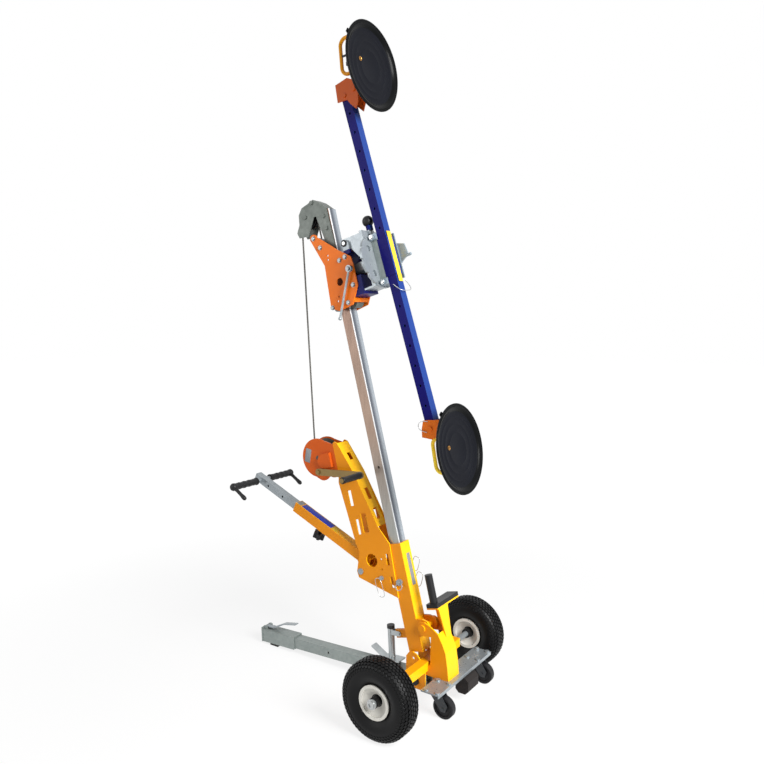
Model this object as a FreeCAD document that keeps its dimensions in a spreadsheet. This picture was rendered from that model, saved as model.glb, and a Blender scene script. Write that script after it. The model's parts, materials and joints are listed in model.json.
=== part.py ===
import FreeCAD, Part
import math
import os

# Glass panel lifter: a two-wheeled trolley with a leaning mast, hand winch and suction cups.
# World axes: X forward (the way the cups face), Y to the machine's left, Z up. Lengths in millimetres.

# Named lengths
SIZES = dict(
    # general
    origin_shift=334.72, fit_gap=0.2, run_gap=0.05, clear_gap=0.3, overrun=4.0, plate_thickness=5.0,
    # wheels and axle
    track=604.0, axle_height=130.0, tyre_radius=130.0, tyre_width=85.0, rim_radius=51.0, rim_lip=4.5,
    rim_width=68.0, hub_radius=17.0, hub_width=72.0, axle_radius=10.0, axle_cap_radius=14.0,
    axle_cap_length=6.0, beam_size=32.0, beam_length=380.0,
    # mast and socket, with the foot of the mast's axis
    mast_foot_x=-28.6, mast_foot_z=130.0, mast_size=40.0, mast_wall=3.0, mast_bottom=50.0,
    mast_top=1626.0, mast_hole_radius=5.0, mast_hole_at=683.0, socket_wall=7.8, socket_bottom=35.0,
    socket_top=412.0, pivot_fwd=51.8, pivot_up=118.3, pivot_radius=10.0, pivot_head_radius=13.0,
    pivot_head=5.0, lug_width=8.0, lug_depth=50.0, lug_height=60.0, lug_low=88.0,
    tab_reach=58.0, tab_low=76.0, tab_height=30.0, tab_width=12.0, tab_bolt_fwd=-73.0,
    tab_bolt_up=90.3, tab_bolt_radius=5.0, socket_pin_fwd=-5.3, socket_pin_up=279.0,
    socket_pin_radius=6.0, socket_pin_head=11.0, socket_pin_out=30.0, pin_ring_radius=13.0,
    pin_ring_wire=1.6,
    # chassis channel, ears and step
    side_gap=4.0, chassis_back=-32.0, chassis_bottom=98.0, chassis_depth=128.0, chassis_height=183.0,
    ear_back=-69.0, ear_bottom=40.0, ear_depth=77.0, ear_height=128.0, ear_hole_x=-40.0,
    ear_hole_z=146.0, ear_hole_radius=5.0, step_x=18.0, step_z=335.0, step_width=44.0,
    step_pad_start=-17.0, step_pad_length=146.0, step_pad_height=14.0, upright_start=-12.0,
    upright_width=62.0, upright_height=122.0, gusset_start=24.0, post_radius=13.5, post_height=98.0,
    post_y=0.0,
    # caster plate, casters and bumper
    caster_plate_back=46.0, caster_plate_depth=67.5, caster_plate_half=190.0, caster_plate_clear=12.5,
    caster_plate_lip=12.0, caster_x=83.0, caster_half=142.0, caster_bolt_dx=42.0, caster_bolt_dy=76.0,
    dome_radius=8.0, dome_height=5.0, caster_wheel_radius=37.5, caster_wheel_width=24.0,
    caster_trail=26.0, fork_gap=1.5, fork_sheet=3.0, fork_plate=52.0, fork_depth=62.0, caster_pin=5.0,
    bumper_back=84.0, bumper_depth=50.0, bumper_bottom=30.0, bumper_length=74.0, bumper_shift=15.0,
    bumper_chamfer=12.0,
    # rear leg
    leg_x=-28.0, leg_z=67.0, leg_size=40.0, leg_wall=3.0, leg_front=28.0, leg_length=693.0,
    leg_hole_at=407.0, leg_hole_radius=4.5, sleeve_wall=4.7, sleeve_overlap=87.0, sleeve_length=166.0,
    end_plate=4.0, end_plate_width=56.0, foot_length=40.0, foot_width=36.0, foot_inset=52.0,
    leg_pin_radius=6.0, bush_radius=12.0, bush_length=9.0, leg_lever_radius=3.5, leg_lever_width=20.0,
    leg_lever_rise=34.0, leg_lever_length=156.0, leg_lever_sheet=4.0, lever_lug=8.0,
    # prop between the mast's tab and the leg
    prop_x=-155.0, prop_z=102.0, prop_radius=12.0, prop_height=112.0, prop_cap_radius=14.0,
    prop_cap=14.0, prop_plate_back=30.0, prop_plate_length=72.0, prop_plate_width=44.0,
    prop_rubber=14.6, prop_rubber_length=40.0, pedal_reach=50.0, pedal_rise=32.0, link_sheet=3.5,
    link_half=9.0,
    # tower behind the socket
    tower_back=-182.6, tower_bottom=224.0, tower_depth=169.0, tower_height=582.0,
    big_hole_radius=24.0, small_hole_radius=4.0, handle_pivot_fwd=-164.0,
    handle_pivot_up=326.8, handle_bolt_radius=6.0, handle_bolt_head=11.0, snap_pin_fwd=-76.3,
    snap_pin_up=298.0, snap_pin_radius=4.0, snap_pin_head=8.0,
    # gooseneck and sheave at the mast's top
    goose_back=-142.0, goose_bottom=1472.0, goose_depth=158.0, goose_height=206.0, goose_sheet=4.0,
    sheave_fwd=-90.5, sheave_up=1628.0, sheave_pin=6.0, sheave_radius=40.0, sheave_groove=33.2,
    sheave_width=16.0, sheave_hub=14.0, bolt_head_radius=7.5, bolt_head=4.0, rope_radius=3.25,
    # winch
    drum_reach=84.2, drum_drop=49.0, winch_half=29.0, winch_sheet=4.0, winch_radius=72.0, drum_core=51.8,
    drum_flange=66.0, drum_flange_sheet=3.0, drum_half=25.4, drum_shaft=8.0, winding_pitch=6.85,
    crank_ahead=13.0, crank_drop=51.0, crank_boss=36.0,
    crank_throw=192.0, crank_width=25.0, crank_sheet=6.0, crank_stand=22.0, grip_radius=12.0,
    grip_length=104.0, grip_pin=6.0, gear_cover_radius=27.0, cover_ahead=33.5, cover_drop=16.0,
    gear_cover_reach=32.0, gear_cover=11.0,
    # carriage on the mast
    carriage_back=-72.0, carriage_bottom=1252.0, carriage_depth=165.0, carriage_height=296.0,
    carriage_gap=22.0, front_roller=18.4, rear_roller=13.4, front_upper=1424.0, front_lower=1271.0,
    rear_upper=1493.0, rear_lower=1271.0, roller_pin=6.0, pin_head=9.0, pin_head_length=5.0,
    anchor_fwd=-55.8, anchor_up=1533.5, anchor_lobe=15.0, tie_upper_fwd=64.7, tie_upper_up=1428.6,
    tie_lower_fwd=75.0, tie_lower_up=1324.7, window_fwd=20.9, window_up=1351.0, window_radius=14.0,
    block_back=60.0, block_depth=52.0, block_bottom=1284.0, block_height=68.0, block_neck=12.0,
    block_top=1450.0, head_pin_fwd=69.5, head_pin_up=1476.5, head_pin=8.0, head_lug=8.7,
    head_lug_half=13.0, lock_fwd=80.0, lock_up=1381.0, lock_boss=12.0, lock_boss_length=11.0,
    lock_rod=4.0, lock_length=178.0, lock_ball=6.5,
    # lifting bar with its index disc
    bar_foot_x=-67.2, bar_foot_z=1200.0, bar_size=35.0, bar_wall=3.0, bar_low=-262.0, bar_high=925.0,
    bar_hole_radius=4.5, bar_hole_first=-187.0, bar_hole_pitch=70.0, sleeve_low=273.0,
    sleeve_high=407.0, sleeve_sheet=3.0, head_axis_up=340.0, disc_radius=96.0, disc_back=-54.0,
    disc_sheet=8.0, notch_radius=6.4, disc_shaft=12.0, head_plate_sheet=11.6, head_plate_low=-86.0,
    head_plate_half=48.0, housing_radius=20.0, housing_back=-138.0,
    box_back=58.0, box_front=150.0, box_low=1455.0, box_high=1494.0, box_half=32.0,
    head_cheek_back=84.0, head_cheek_front=152.0, head_cheek_low=1396.0, shelf_back=-106.0, shelf_sheet=6.0,
    shelf_half=40.0,
    strap_offset=80.0, strap_height=20.0, strap_width=56.0, strap_front=24.0, strap_bolt=8.0,
    strap_bolt_length=6.0, far_plate_low=290.0, far_plate_height=105.0,
    far_plate_depth=104.0, far_stud=5.0, far_stud_out=10.0, plunger_radius=5.9, plunger_collar=11.0,
    plunger_collar_length=18.0, plunger_rise=38.0, plunger_ball=20.0, bridge_height=14.0, bridge_gap=4.0,
    bridge_half=15.0, bridge_lip=1.2,
    # cup brackets and suction cups
    bracket_gap=0.6, bracket_back=-34.0, bracket_drop=69.0, bracket_depth=102.0, bracket_height=124.0,
    lower_bracket_back=-40.0, lower_bracket_drop=39.0, lower_bracket_depth=86.0,
    lower_bracket_height=69.0, cup_bolt=6.0, upper_bolt_fwd=42.0, upper_bolt_rise=7.0,
    lower_bolt_fwd=32.0, lower_bolt_drop=6.0, lug_hub=12.0, upper_cup_fwd=127.6527, upper_cup_rise=51.9848,
    lower_cup_fwd=81.4897, lower_cup_drop=91.1698, cup_radius=151.0, cup_depth=28.0, cup_recess=11.0,
    grip_rod=6.5, grip_bend=26.0,
    upper_stand=132.0, upper_grip_top=130.0, upper_grip_low=5.0, lower_stand=106.0,
    lower_grip_top=44.0, lower_grip_low=-76.0, cup_disc_radius=66.0, cup_disc_sheet=6.0,
    barrel_stand=66.0, barrel_radius=12.0, upper_barrel=12.0, lower_barrel=-20.0, barrel_length=52.0,
    barrel_wall=3.5, pump_out=24.0, pump_in=36.0, pump_button=11.0, pump_button_length=8.0,
    # push handle
    handle_axis=38.0, handle_sleeve_size=38.0, handle_sleeve_wall=4.7, handle_sleeve_long=376.0,
    handle_sleeve_front=12.0, handle_tube_end=606.0, handle_tube_start=130.0, handle_tube_wall=2.5,
    handle_hub=14.0, cross_at=575.0, cross_half=159.0, cross_rod=9.0,
    cross_grip=15.0, cross_inner=36.0, hook_length=72.0, hook_radius=7.0,
    knob_at=238.0, knob_stem=6.0, knob_radius=18.0, knob_height=22.0, knob_drop=16.0,
    knob_lobe=6.0, knob_boss=4.0, knob_boss_radius=12.0, handle_hole_first=448.0,
    handle_hole_pitch=82.0, handle_hole_radius=4.5,
)

# Named angles in degrees
ANGLES = dict(
    mast_lean_angle=14.62, bar_lean_angle=17.35, upper_cup_angle=5.5, lower_cup_angle=10.5,
    leg_angle=2.55, prop_angle=3.4, step_angle=13.7, handle_angle=23.5, crank_angle=3.5,
    hook_angle=9.0, lock_angle=27.7, pin_ring_angle=70.0,
)

# Counts
WINDING_LOOPS = 5
NOTCHES = 12
DISC_WINDOWS = 4
BAR_HOLES = 17
KNOB_LOBES = 6

# Outlines as shares of the depth and height of the plate that they belong to
FLANGE_SHARES = ((0.016, 0.809), (0.0, 0.896), (0.094, 0.978), (0.25, 1.0), (0.469, 0.934),
                 (0.664, 0.847), (0.812, 0.667), (0.906, 0.514), (0.969, 0.23), (1.0, 0.0),
                 (0.266, 0.0), (0.219, 0.077), (0.445, 0.23), (0.461, 0.754), (0.25, 0.732),
                 (0.094, 0.754))
WEB_SHARES = ((0.664, 0.847), (0.812, 0.667), (0.906, 0.514), (0.969, 0.23), (1.0, 0.0),
              (0.961, 0.0), (0.93, 0.225), (0.868, 0.505), (0.776, 0.65), (0.63, 0.826))
EAR_SHARES = ((0.0, 0.156), (0.0, 0.844), (0.143, 0.961), (0.351, 1.0), (0.558, 0.953),
              (0.714, 0.844), (1.0, 0.625), (1.0, 0.039), (0.844, 0.0), (0.117, 0.0))
LUG_SHARES = ((0.0, 0.0), (0.36, 0.03), (0.88, 0.23), (1.0, 0.5), (0.86, 0.83), (0.5, 0.97), (0.0, 1.0))
CHEEK_SHARES = ((0.14, 1.0), (1.0, 1.0), (1.0, 0.0), (0.75, 0.0), (0.2, 0.62))
FORK_SHARES = ((-0.36, 1.0), (0.27, 1.0), (0.31, 0.87), (0.72, 0.32), (0.6, 0.0), (0.34, 0.0), (-0.32, 0.78))
TOWER_SHARES = ((0.941, 0.0), (1.0, 0.326), (0.799, 0.433), (0.45, 0.785), (0.172, 0.983),
                (0.101, 0.995), (0.053, 0.986), (0.053, 0.801), (0.0, 0.737), (0.13, 0.345),
                (0.178, 0.292), (0.065, 0.22), (0.006, 0.179), (0.024, 0.139))
SPINE_SHARES = ((0.764, 0.436), (0.45, 0.785), (0.172, 0.983), (0.148, 0.979), (0.423, 0.783),
                (0.735, 0.434))
SIDE_SLOT_SHARES = ((0.189, 0.284, 0.582, 0.68), (0.243, 0.325, 0.402, 0.497), (0.4, 0.55, 0.41, 0.53),
                    (0.835, 0.905, 0.2, 0.27), (0.835, 0.905, 0.062, 0.131))
SPINE_SLOT_SHARES = ((0.864, 0.911), (0.605, 0.677), (0.479, 0.548))
SPINE_SLOT_WIDTH_SHARE = 0.11
TOWER_HOLE_SHARES = ((0.704, 0.24), (0.675, 0.179))
BIG_HOLE_SHARES = (0.457, 0.237)
GOOSE_SHARES = ((0.987, 0.01), (1.0, 0.136), (0.975, 0.767), (0.785, 0.922), (0.639, 1.0),
                (0.506, 0.971), (0.278, 0.942), (0.152, 0.84), (0.114, 0.67), (0.0, 0.544),
                (0.038, 0.447), (0.316, 0.413), (0.575, 0.7), (0.64, 0.695), (0.753, 0.238),
                (0.785, 0.01))
COVER_SHARES = ((0.975, 0.767), (0.785, 0.922), (0.639, 1.0), (0.506, 0.971), (0.506, 0.952),
                (0.637, 0.98), (0.775, 0.904), (0.962, 0.752))
GOOSE_BOLT_SHARES = ((0.589, 0.957), (0.848, 0.649), (0.861, 0.428))
WINCH_SHARES = ((-0.917, -0.375), (-0.22, -1.04), (0.57, -1.07), (1.3, -0.764), (1.3, 0.458),
                (0.57, 0.81))
CARRIAGE_SHARES = ((0.109, 1.0), (0.661, 0.716), (0.97, 0.581), (1.0, 0.483), (1.0, 0.226),
                   (0.776, 0.024), (0.406, 0.0), (0.194, 0.061), (0.236, 0.432), (0.2545, 0.584),
                   (0.0, 0.953))
CARRIAGE_HOLE_SHARES = ((0.385, 0.69), (0.37, 0.64), (0.46, 0.17), (0.41, 0.12))
BRACKET_SHARES = ((0.0, 0.5), (0.078, 0.992), (0.608, 1.0), (0.784, 0.879), (0.922, 0.597), (0.82, 0.25),
                  (0.66, 0.06), (0.5, 0.25), (0.392, 0.435))
LOWER_BRACKET_SHARES = ((0.233, 1.0), (0.93, 0.841), (1.0, 0.478), (0.93, 0.159), (0.419, 0.0),
                        (0.0, 0.217), (0.07, 0.594))
CUP_SHARES = ((0.0, 0.93), (0.0, 1.0), (0.12, 1.0), (0.36, 0.93), (0.76, 0.72), (1.0, 0.45), (1.0, 0.0))
CUP_INSIDE_SHARES = ((1.0, 0.0), (1.0, 0.79), (0.75, 0.84), (0.6, 0.86))
FAR_PLATE_SHARES = ((0.0, 0.0), (0.0, 1.0), (0.63, 0.9), (0.94, 0.78), (1.0, 0.38), (0.83, 0.31),
                    (0.52, 0.12))
TYRE_SHARES = ((0.66, 1.0), (0.89, 0.915), (1.0, 0.77), (0.94, 0.62), (0.72, 0.5))
RIM_DISH_SHARES = (0.42, 0.44, 0.79)
RIM_STEP_SHARE = 0.9
CASTER_WHEEL_SHARES = ((1.0, 0.4), (0.7, 0.42), (0.7, 0.72), (1.0, 0.76), (1.0, 0.93), (0.8, 1.0))
UPRIGHT_SHARES = ((0.0, 1.0), (0.26, 0.0), (0.74, 0.0), (1.0, 1.0))
LUG_RISE_SHARE = 1.5
LEG_LEVER_SHARES = ((0.0, 0.0, -0.5), (0.25, 0.0, -0.5), (0.62, 0.72, 0.0), (1.0, 1.0, 0.0), (1.0, 1.0, 1.0),
                    (0.6, 0.72, 1.0), (0.23, 0.0, 0.5), (0.0, 0.0, 0.5))
PEDAL_SHARE = 0.7
RUBBER_SHARES = (0.35, 0.8)
GROOVE_FLOOR_SHARE = 1.3
SHEAVE_RIM_SHARE = 0.75
WINCH_WEB_SHARES = (0.821, 0.972)
CRANK_HUB_SHARE = 0.9
GRIP_CAP_SHARE = 1.4
CARRIAGE_TIE_SHARE = 0.05
HEAD_CHEEK_SHARES = ((0.0, 1.0), (1.0, 1.0), (1.0, 0.0), (0.72, 0.03), (0.42, 0.24), (0.16, 0.5), (0.0, 0.64))
SHAFT_END_SHARE = 1.5
WINDOW_PLACE_SHARE = 0.66
WINDOW_SIZE_SHARE = 1.7
STUD_SHARE = 0.9
HOLE_KEEP_SHARE = 1.5
KNOB_SINK_SHARE = 0.8
PLUNGER_SEAT_SHARE = 1.15
CUP_BOLT_SHARE = 1.2
BARREL_RIB_SHARE = 0.6
HANDLE_RIB_SHARES = (0.8, 0.7, 2.6)
PIN_HEAD_SHARE = 0.3
PIN_RING_SHARE = 0.42
PIN_STEM_SHARE = 0.5
SNAP_NECK_SHARE = 0.6

DOC = FreeCAD.newDocument("GlassLifter")
SHEET = DOC.addObject("Spreadsheet::Sheet", "Sizes")
for row, (alias, number) in enumerate(list(SIZES.items()) + list(ANGLES.items()), start=1):
    SHEET.set("A%d" % row, str(number))
    SHEET.setAlias("A%d" % row, alias)
DOC.recompute()


class Size:
    """A number together with the sheet formula that gives it."""

    def __init__(self, formula, value):
        self.formula = formula
        self.value = value

    def __add__(self, other):
        other = as_size(other)
        return Size("(%s + %s)" % (self.formula, other.formula), self.value + other.value)

    __radd__ = __add__

    def __sub__(self, other):
        other = as_size(other)
        return Size("(%s - %s)" % (self.formula, other.formula), self.value - other.value)

    def __rsub__(self, other):
        return as_size(other) - self

    def __mul__(self, other):
        other = as_size(other)
        return Size("(%s * %s)" % (self.formula, other.formula), self.value * other.value)

    __rmul__ = __mul__

    def __truediv__(self, other):
        other = as_size(other)
        return Size("(%s / %s)" % (self.formula, other.formula), self.value / other.value)

    def __neg__(self):
        return Size("(0 - %s)" % self.formula, -self.value)


def as_size(number):
    """Gives a plain number the same form as a size."""
    return number if isinstance(number, Size) else Size(repr(float(number)), float(number))


class Names:
    """Reads the sheet's cells by their aliases."""

    def __getattr__(self, alias):
        return Size("Sizes.%s" % alias, float(SHEET.get(alias)))


S = Names()


def cosine(angle):
    return Size("cos(%s)" % angle.formula, math.cos(math.radians(angle.value)))


def sine(angle):
    return Size("sin(%s)" % angle.formula, math.sin(math.radians(angle.value)))


def bind(thing, prop, size):
    """Ties one property of an object to a size."""
    thing.setExpression(prop, as_size(size).formula)


class Frame:
    """A set of axes turned about Y, at a place in the machine's own axes."""

    def __init__(self, x, z, angle):
        self.x = as_size(x)
        self.z = as_size(z)
        self.angle = as_size(angle)

    def point(self, fwd, up):
        fwd = as_size(fwd)
        up = as_size(up)
        turn_cos = cosine(self.angle)
        turn_sin = sine(self.angle)
        return (self.x + fwd * turn_cos + up * turn_sin, self.z - fwd * turn_sin + up * turn_cos)

    def hold(self, thing, fwd=0.0, y=0.0, up=0.0, shift=0.0):
        """Places an object that was made in this frame's axes."""
        if thing.TypeId in ("Part::Box", "Part::Cylinder"):
            inner = thing
            thing = DOC.addObject("Part::Compound", "Held")
            thing.Links = [inner]
        place_x, place_z = self.point(fwd, up)
        thing.Placement = FreeCAD.Placement(FreeCAD.Vector(0, 0, 0),
                                            FreeCAD.Rotation(FreeCAD.Vector(0, 1, 0), 1))
        bind(thing, "Placement.Base.x", place_x + shift)
        bind(thing, "Placement.Base.y", y)
        bind(thing, "Placement.Base.z", place_z)
        bind(thing, "Placement.Rotation.Angle", self.angle)
        return thing

    def matrix(self):
        """The same place as a plain placement, for shapes that are made point by point."""
        base = FreeCAD.Vector(self.x.value + S.origin_shift.value, 0, self.z.value)
        return FreeCAD.Placement(base, FreeCAD.Rotation(FreeCAD.Vector(0, 1, 0), self.angle.value))


GROUND = Frame(0.0, 0.0, 0.0)
MAST = Frame(S.mast_foot_x, S.mast_foot_z, -S.mast_lean_angle)
BAR = Frame(S.bar_foot_x, S.bar_foot_z, -S.bar_lean_angle)
UPPER = Frame(*BAR.point(S.upper_cup_fwd, S.bar_high + S.upper_cup_rise), -S.upper_cup_angle)
LOWER = Frame(*BAR.point(S.lower_cup_fwd, S.bar_low - S.lower_cup_drop), -S.lower_cup_angle)
LEG = Frame(S.leg_x, S.leg_z, -S.leg_angle)
PROP = Frame(S.prop_x, S.prop_z, -S.prop_angle)
STEP = Frame(S.step_x, S.step_z, -S.step_angle)
HANDLE = Frame(*MAST.point(S.handle_pivot_fwd, S.handle_pivot_up), S.handle_angle)
WEB_FRONT = S.tower_back + S.tower_depth * TOWER_SHARES[6][0]
DRUM_FWD = WEB_FRONT - S.drum_reach
DRUM_UP = S.tower_bottom + S.tower_height - S.drum_drop
CRANK_FWD = DRUM_FWD + S.crank_ahead
CRANK_UP = DRUM_UP - S.crank_drop
CRANK = Frame(*MAST.point(CRANK_FWD, CRANK_UP), -S.crank_angle)
LOCK = Frame(*MAST.point(S.lock_fwd, S.lock_up), S.lock_angle - S.mast_lean_angle)

NODES = []


def box(x, y, z, length, width, height):
    """A block with one corner at x, y, z."""
    thing = DOC.addObject("Part::Box", "Block")
    for prop, size in (("Length", length), ("Width", width), ("Height", height),
                       ("Placement.Base.x", x), ("Placement.Base.y", y), ("Placement.Base.z", z)):
        bind(thing, prop, size)
    return thing


def rod(axis, x, y, z, radius, length):
    """A round bar from x, y, z along one axis."""
    thing = DOC.addObject("Part::Cylinder", "Rod")
    turns = {"X": FreeCAD.Rotation(FreeCAD.Vector(0, 1, 0), 90),
             "Y": FreeCAD.Rotation(FreeCAD.Vector(1, 0, 0), -90),
             "Z": FreeCAD.Rotation()}
    thing.Placement = FreeCAD.Placement(FreeCAD.Vector(0, 0, 0), turns[axis])
    for prop, size in (("Radius", radius), ("Height", length), ("Placement.Base.x", x),
                       ("Placement.Base.y", y), ("Placement.Base.z", z)):
        bind(thing, prop, size)
    return thing


def cross_rod(x, z, radius, half):
    """A round bar across the machine, as far on each side."""
    return rod("Y", x, -as_size(half), z, radius, as_size(half) * 2)


def ball(x, y, z, radius):
    thing = DOC.addObject("Part::Sphere", "Ball")
    for prop, size in (("Radius", radius), ("Placement.Base.x", x), ("Placement.Base.y", y),
                       ("Placement.Base.z", z)):
        bind(thing, prop, size)
    return thing


def outline_sketch(points):
    """A closed outline whose corners are tied to sizes."""
    import Sketcher
    sketch = DOC.addObject("Sketcher::SketchObject", "Outline")
    count = len(points)
    corners = [FreeCAD.Vector(as_size(a).value, as_size(b).value, 0) for a, b in points]
    for index in range(count):
        sketch.addGeometry(Part.LineSegment(corners[index], corners[(index + 1) % count]), False)
    for index in range(count):
        sketch.addConstraint(Sketcher.Constraint("Coincident", index, 2, (index + 1) % count, 1))
    for index, (across, along) in enumerate(points):
        for kind, size in (("DistanceX", as_size(across)), ("DistanceY", as_size(along))):
            number = sketch.addConstraint(Sketcher.Constraint(kind, -1, 1, index, 1, size.value))
            sketch.setExpression("Constraints[%d]" % number, size.formula)
    return sketch


def prism(points, y, width):
    """An outline in X and Z, drawn out along Y."""
    sketch = outline_sketch(points)
    sketch.Placement = FreeCAD.Placement(FreeCAD.Vector(0, 0, 0),
                                         FreeCAD.Rotation(FreeCAD.Vector(1, 0, 0), 90))
    bind(sketch, "Placement.Base.y", y)
    thing = DOC.addObject("Part::Extrusion", "Plate")
    thing.Base = sketch
    thing.DirMode = "Custom"
    thing.Dir = FreeCAD.Vector(0, 1, 0)
    thing.Solid = True
    bind(thing, "LengthFwd", width)
    return thing


def panel(points, x, thick):
    """An outline in Y and Z, drawn out along X."""
    sketch = outline_sketch(points)
    sketch.Placement = FreeCAD.Placement(FreeCAD.Vector(0, 0, 0),
                                         FreeCAD.Rotation(FreeCAD.Vector(1, 1, 1), 120))
    bind(sketch, "Placement.Base.x", x)
    thing = DOC.addObject("Part::Extrusion", "Panel")
    thing.Base = sketch
    thing.DirMode = "Custom"
    thing.Dir = FreeCAD.Vector(1, 0, 0)
    thing.Solid = True
    bind(thing, "LengthFwd", thick)
    return thing


def turned(points, axis):
    """An outline of places along an axis and radii, turned about that axis."""
    if axis == "Y":
        sketch = outline_sketch([(radius, place) for place, radius in points])
    else:
        sketch = outline_sketch(points)
    thing = DOC.addObject("Part::Revolution", "Turned")
    thing.Source = sketch
    thing.Axis = FreeCAD.Vector(0, 1, 0) if axis == "Y" else FreeCAD.Vector(1, 0, 0)
    thing.Angle = 360
    thing.Solid = True
    return thing


def moved(thing, x=0.0, y=0.0, z=0.0):
    """Shifts an object by its own placement."""
    for prop, size in (("Placement.Base.x", x), ("Placement.Base.y", y), ("Placement.Base.z", z)):
        bind(thing, prop, size)
    return thing


def spread(shares, back, bottom, depth, height):
    """Corner places from shares of a plate's depth and height."""
    return [(back + depth * across, bottom + height * along) for across, along in shares]


def fused(*things):
    if len(things) == 1:
        return things[0]
    thing = DOC.addObject("Part::MultiFuse", "Joined")
    thing.Shapes = list(things)
    thing.Refine = True
    return thing


def cut(base, *tools):
    thing = DOC.addObject("Part::Cut", "Cut")
    thing.Base = base
    thing.Tool = fused(*tools)
    thing.Refine = True
    return thing


def pair(make, start, width):
    """The same plate on both sides of the machine's middle, from a start outwards."""
    return [make(start, width), make(-(as_size(start) + width), width)]


def node(label, thing, frame=GROUND, fwd=0.0, y=0.0, up=0.0):
    """Names a finished sub-part and sets it in its frame."""
    thing = frame.hold(thing, fwd, y, up, S.origin_shift)
    thing.Label = label
    NODES.append(thing)
    return thing


def shaped(label, solid, frame):
    """A sub-part made point by point, set in its frame afterwards."""
    thing = DOC.addObject("Part::Feature", "Form")
    thing.Shape = solid
    thing.Placement = frame.matrix()
    thing.Label = label
    NODES.append(thing)
    return thing


# Sizes that several pieces share
HALF_MAST = S.mast_size / 2
SOCKET_IN = HALF_MAST + S.fit_gap
SOCKET_OUT = SOCKET_IN + S.socket_wall
FLANGE_IN = SOCKET_OUT + S.side_gap
FLANGE_OUT = FLANGE_IN + S.plate_thickness
EAR_OUT = FLANGE_OUT + S.plate_thickness
TOWER_IN = SOCKET_OUT
TOWER_OUT = TOWER_IN + S.plate_thickness
CARRIAGE_IN = HALF_MAST + S.carriage_gap
CARRIAGE_OUT = CARRIAGE_IN + S.plate_thickness
PLATE_TOP = S.chassis_bottom
PLATE_LOW = PLATE_TOP - S.plate_thickness
DISC_FRONT = S.disc_back + S.disc_sheet
HALF_BAR = S.bar_size / 2
BRACKET_IN = HALF_BAR + S.bracket_gap
BRACKET_OUT = BRACKET_IN + S.plate_thickness
UPPER_BOLT_UP = S.bar_high + S.upper_bolt_rise
LOWER_BOLT_UP = S.bar_low - S.lower_bolt_drop
SLEEVE_IN = S.leg_size / 2 + S.clear_gap
SLEEVE_OUT = SLEEVE_IN + S.sleeve_wall
HANDLE_OUT = S.handle_sleeve_size / 2
HANDLE_IN = HANDLE_OUT - S.handle_sleeve_wall
TUBE_OUT = HANDLE_IN - S.clear_gap
HUB_HALF = TOWER_IN - S.clear_gap
WHEEL_Y = S.track / 2
CASTER_PLATE_Y = WHEEL_Y - S.tyre_width / 2 - S.caster_plate_clear - S.caster_plate_half
WINCH_OUT = S.winch_half + S.winch_sheet
ARM_START = WINCH_OUT + S.crank_stand
WINDING_RADIUS = S.drum_core + S.clear_gap + S.rope_radius
SLEEVE_START = S.leg_length - S.leg_front - S.sleeve_overlap
SLEEVE_END = SLEEVE_START + S.sleeve_length
FOOT_AT = SLEEVE_END - S.foot_inset
STRAP_HALF = S.strap_width / 2


# Chassis: folded channel, leg ears, axle beam and step bracket in one welding
def chassis():
    def flange(start, width):
        return prism(spread(FLANGE_SHARES, S.chassis_back, S.chassis_bottom, S.chassis_depth,
                            S.chassis_height), start, width)

    def ear(start, width):
        return prism(spread(EAR_SHARES, S.ear_back, S.ear_bottom, S.ear_depth, S.ear_height), start, width)

    web = prism(spread(WEB_SHARES, S.chassis_back, S.chassis_bottom, S.chassis_depth, S.chassis_height),
                -FLANGE_IN, FLANGE_IN * 2)
    floor = box(S.chassis_back + S.chassis_depth * FLANGE_SHARES[10][0], -FLANGE_IN, S.chassis_bottom,
                S.chassis_depth * (1 - FLANGE_SHARES[10][0]), FLANGE_IN * 2, S.plate_thickness)
    beam = box(-S.beam_size / 2, -S.beam_length / 2, S.axle_height - S.beam_size / 2, S.beam_size,
               S.beam_length, S.beam_size)
    shelf = STEP.hold(box(-S.step_width / 2, S.step_pad_start, -S.step_pad_height / 2 - S.plate_thickness,
                          S.step_width, S.step_pad_length, S.plate_thickness))
    upright_low = -S.step_pad_height / 2 - S.upright_height
    upright = STEP.hold(panel(spread(UPRIGHT_SHARES, S.upright_start, upright_low, S.upright_width,
                                     S.upright_height), S.step_width / 2 - S.plate_thickness,
                              S.plate_thickness))
    gusset = STEP.hold(prism(spread(CHEEK_SHARES, -S.step_width / 2, upright_low, S.step_width,
                                    S.upright_height), S.gusset_start, S.plate_thickness))
    solid = fused(*pair(flange, FLANGE_IN, S.plate_thickness), *pair(ear, FLANGE_OUT, S.plate_thickness), web,
                  floor, beam, gusset, shelf, upright)
    reach = S.beam_length / 2 + S.overrun
    pivot_x, pivot_z = MAST.point(S.pivot_fwd, S.pivot_up)
    return cut(solid, cross_rod(0.0, S.axle_height, S.axle_radius + S.run_gap, reach),
               cross_rod(S.ear_hole_x, S.ear_hole_z, S.ear_hole_radius, reach),
               cross_rod(S.leg_x, S.leg_z, S.leg_pin_radius + S.run_gap, reach),
               cross_rod(pivot_x, pivot_z, S.pivot_radius + S.run_gap, reach))


node("chassis_frame", chassis())


# Axle with its end caps
CAP_IN = WHEEL_Y + S.hub_width / 2 + S.clear_gap
node("axle_bar", fused(cross_rod(0.0, 0.0, S.axle_radius, CAP_IN + S.axle_cap_length),
                       rod("Y", 0.0, CAP_IN, 0.0, S.axle_cap_radius, S.axle_cap_length),
                       rod("Y", 0.0, -(CAP_IN + S.axle_cap_length), 0.0, S.axle_cap_radius,
                           S.axle_cap_length)), up=S.axle_height)


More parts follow.
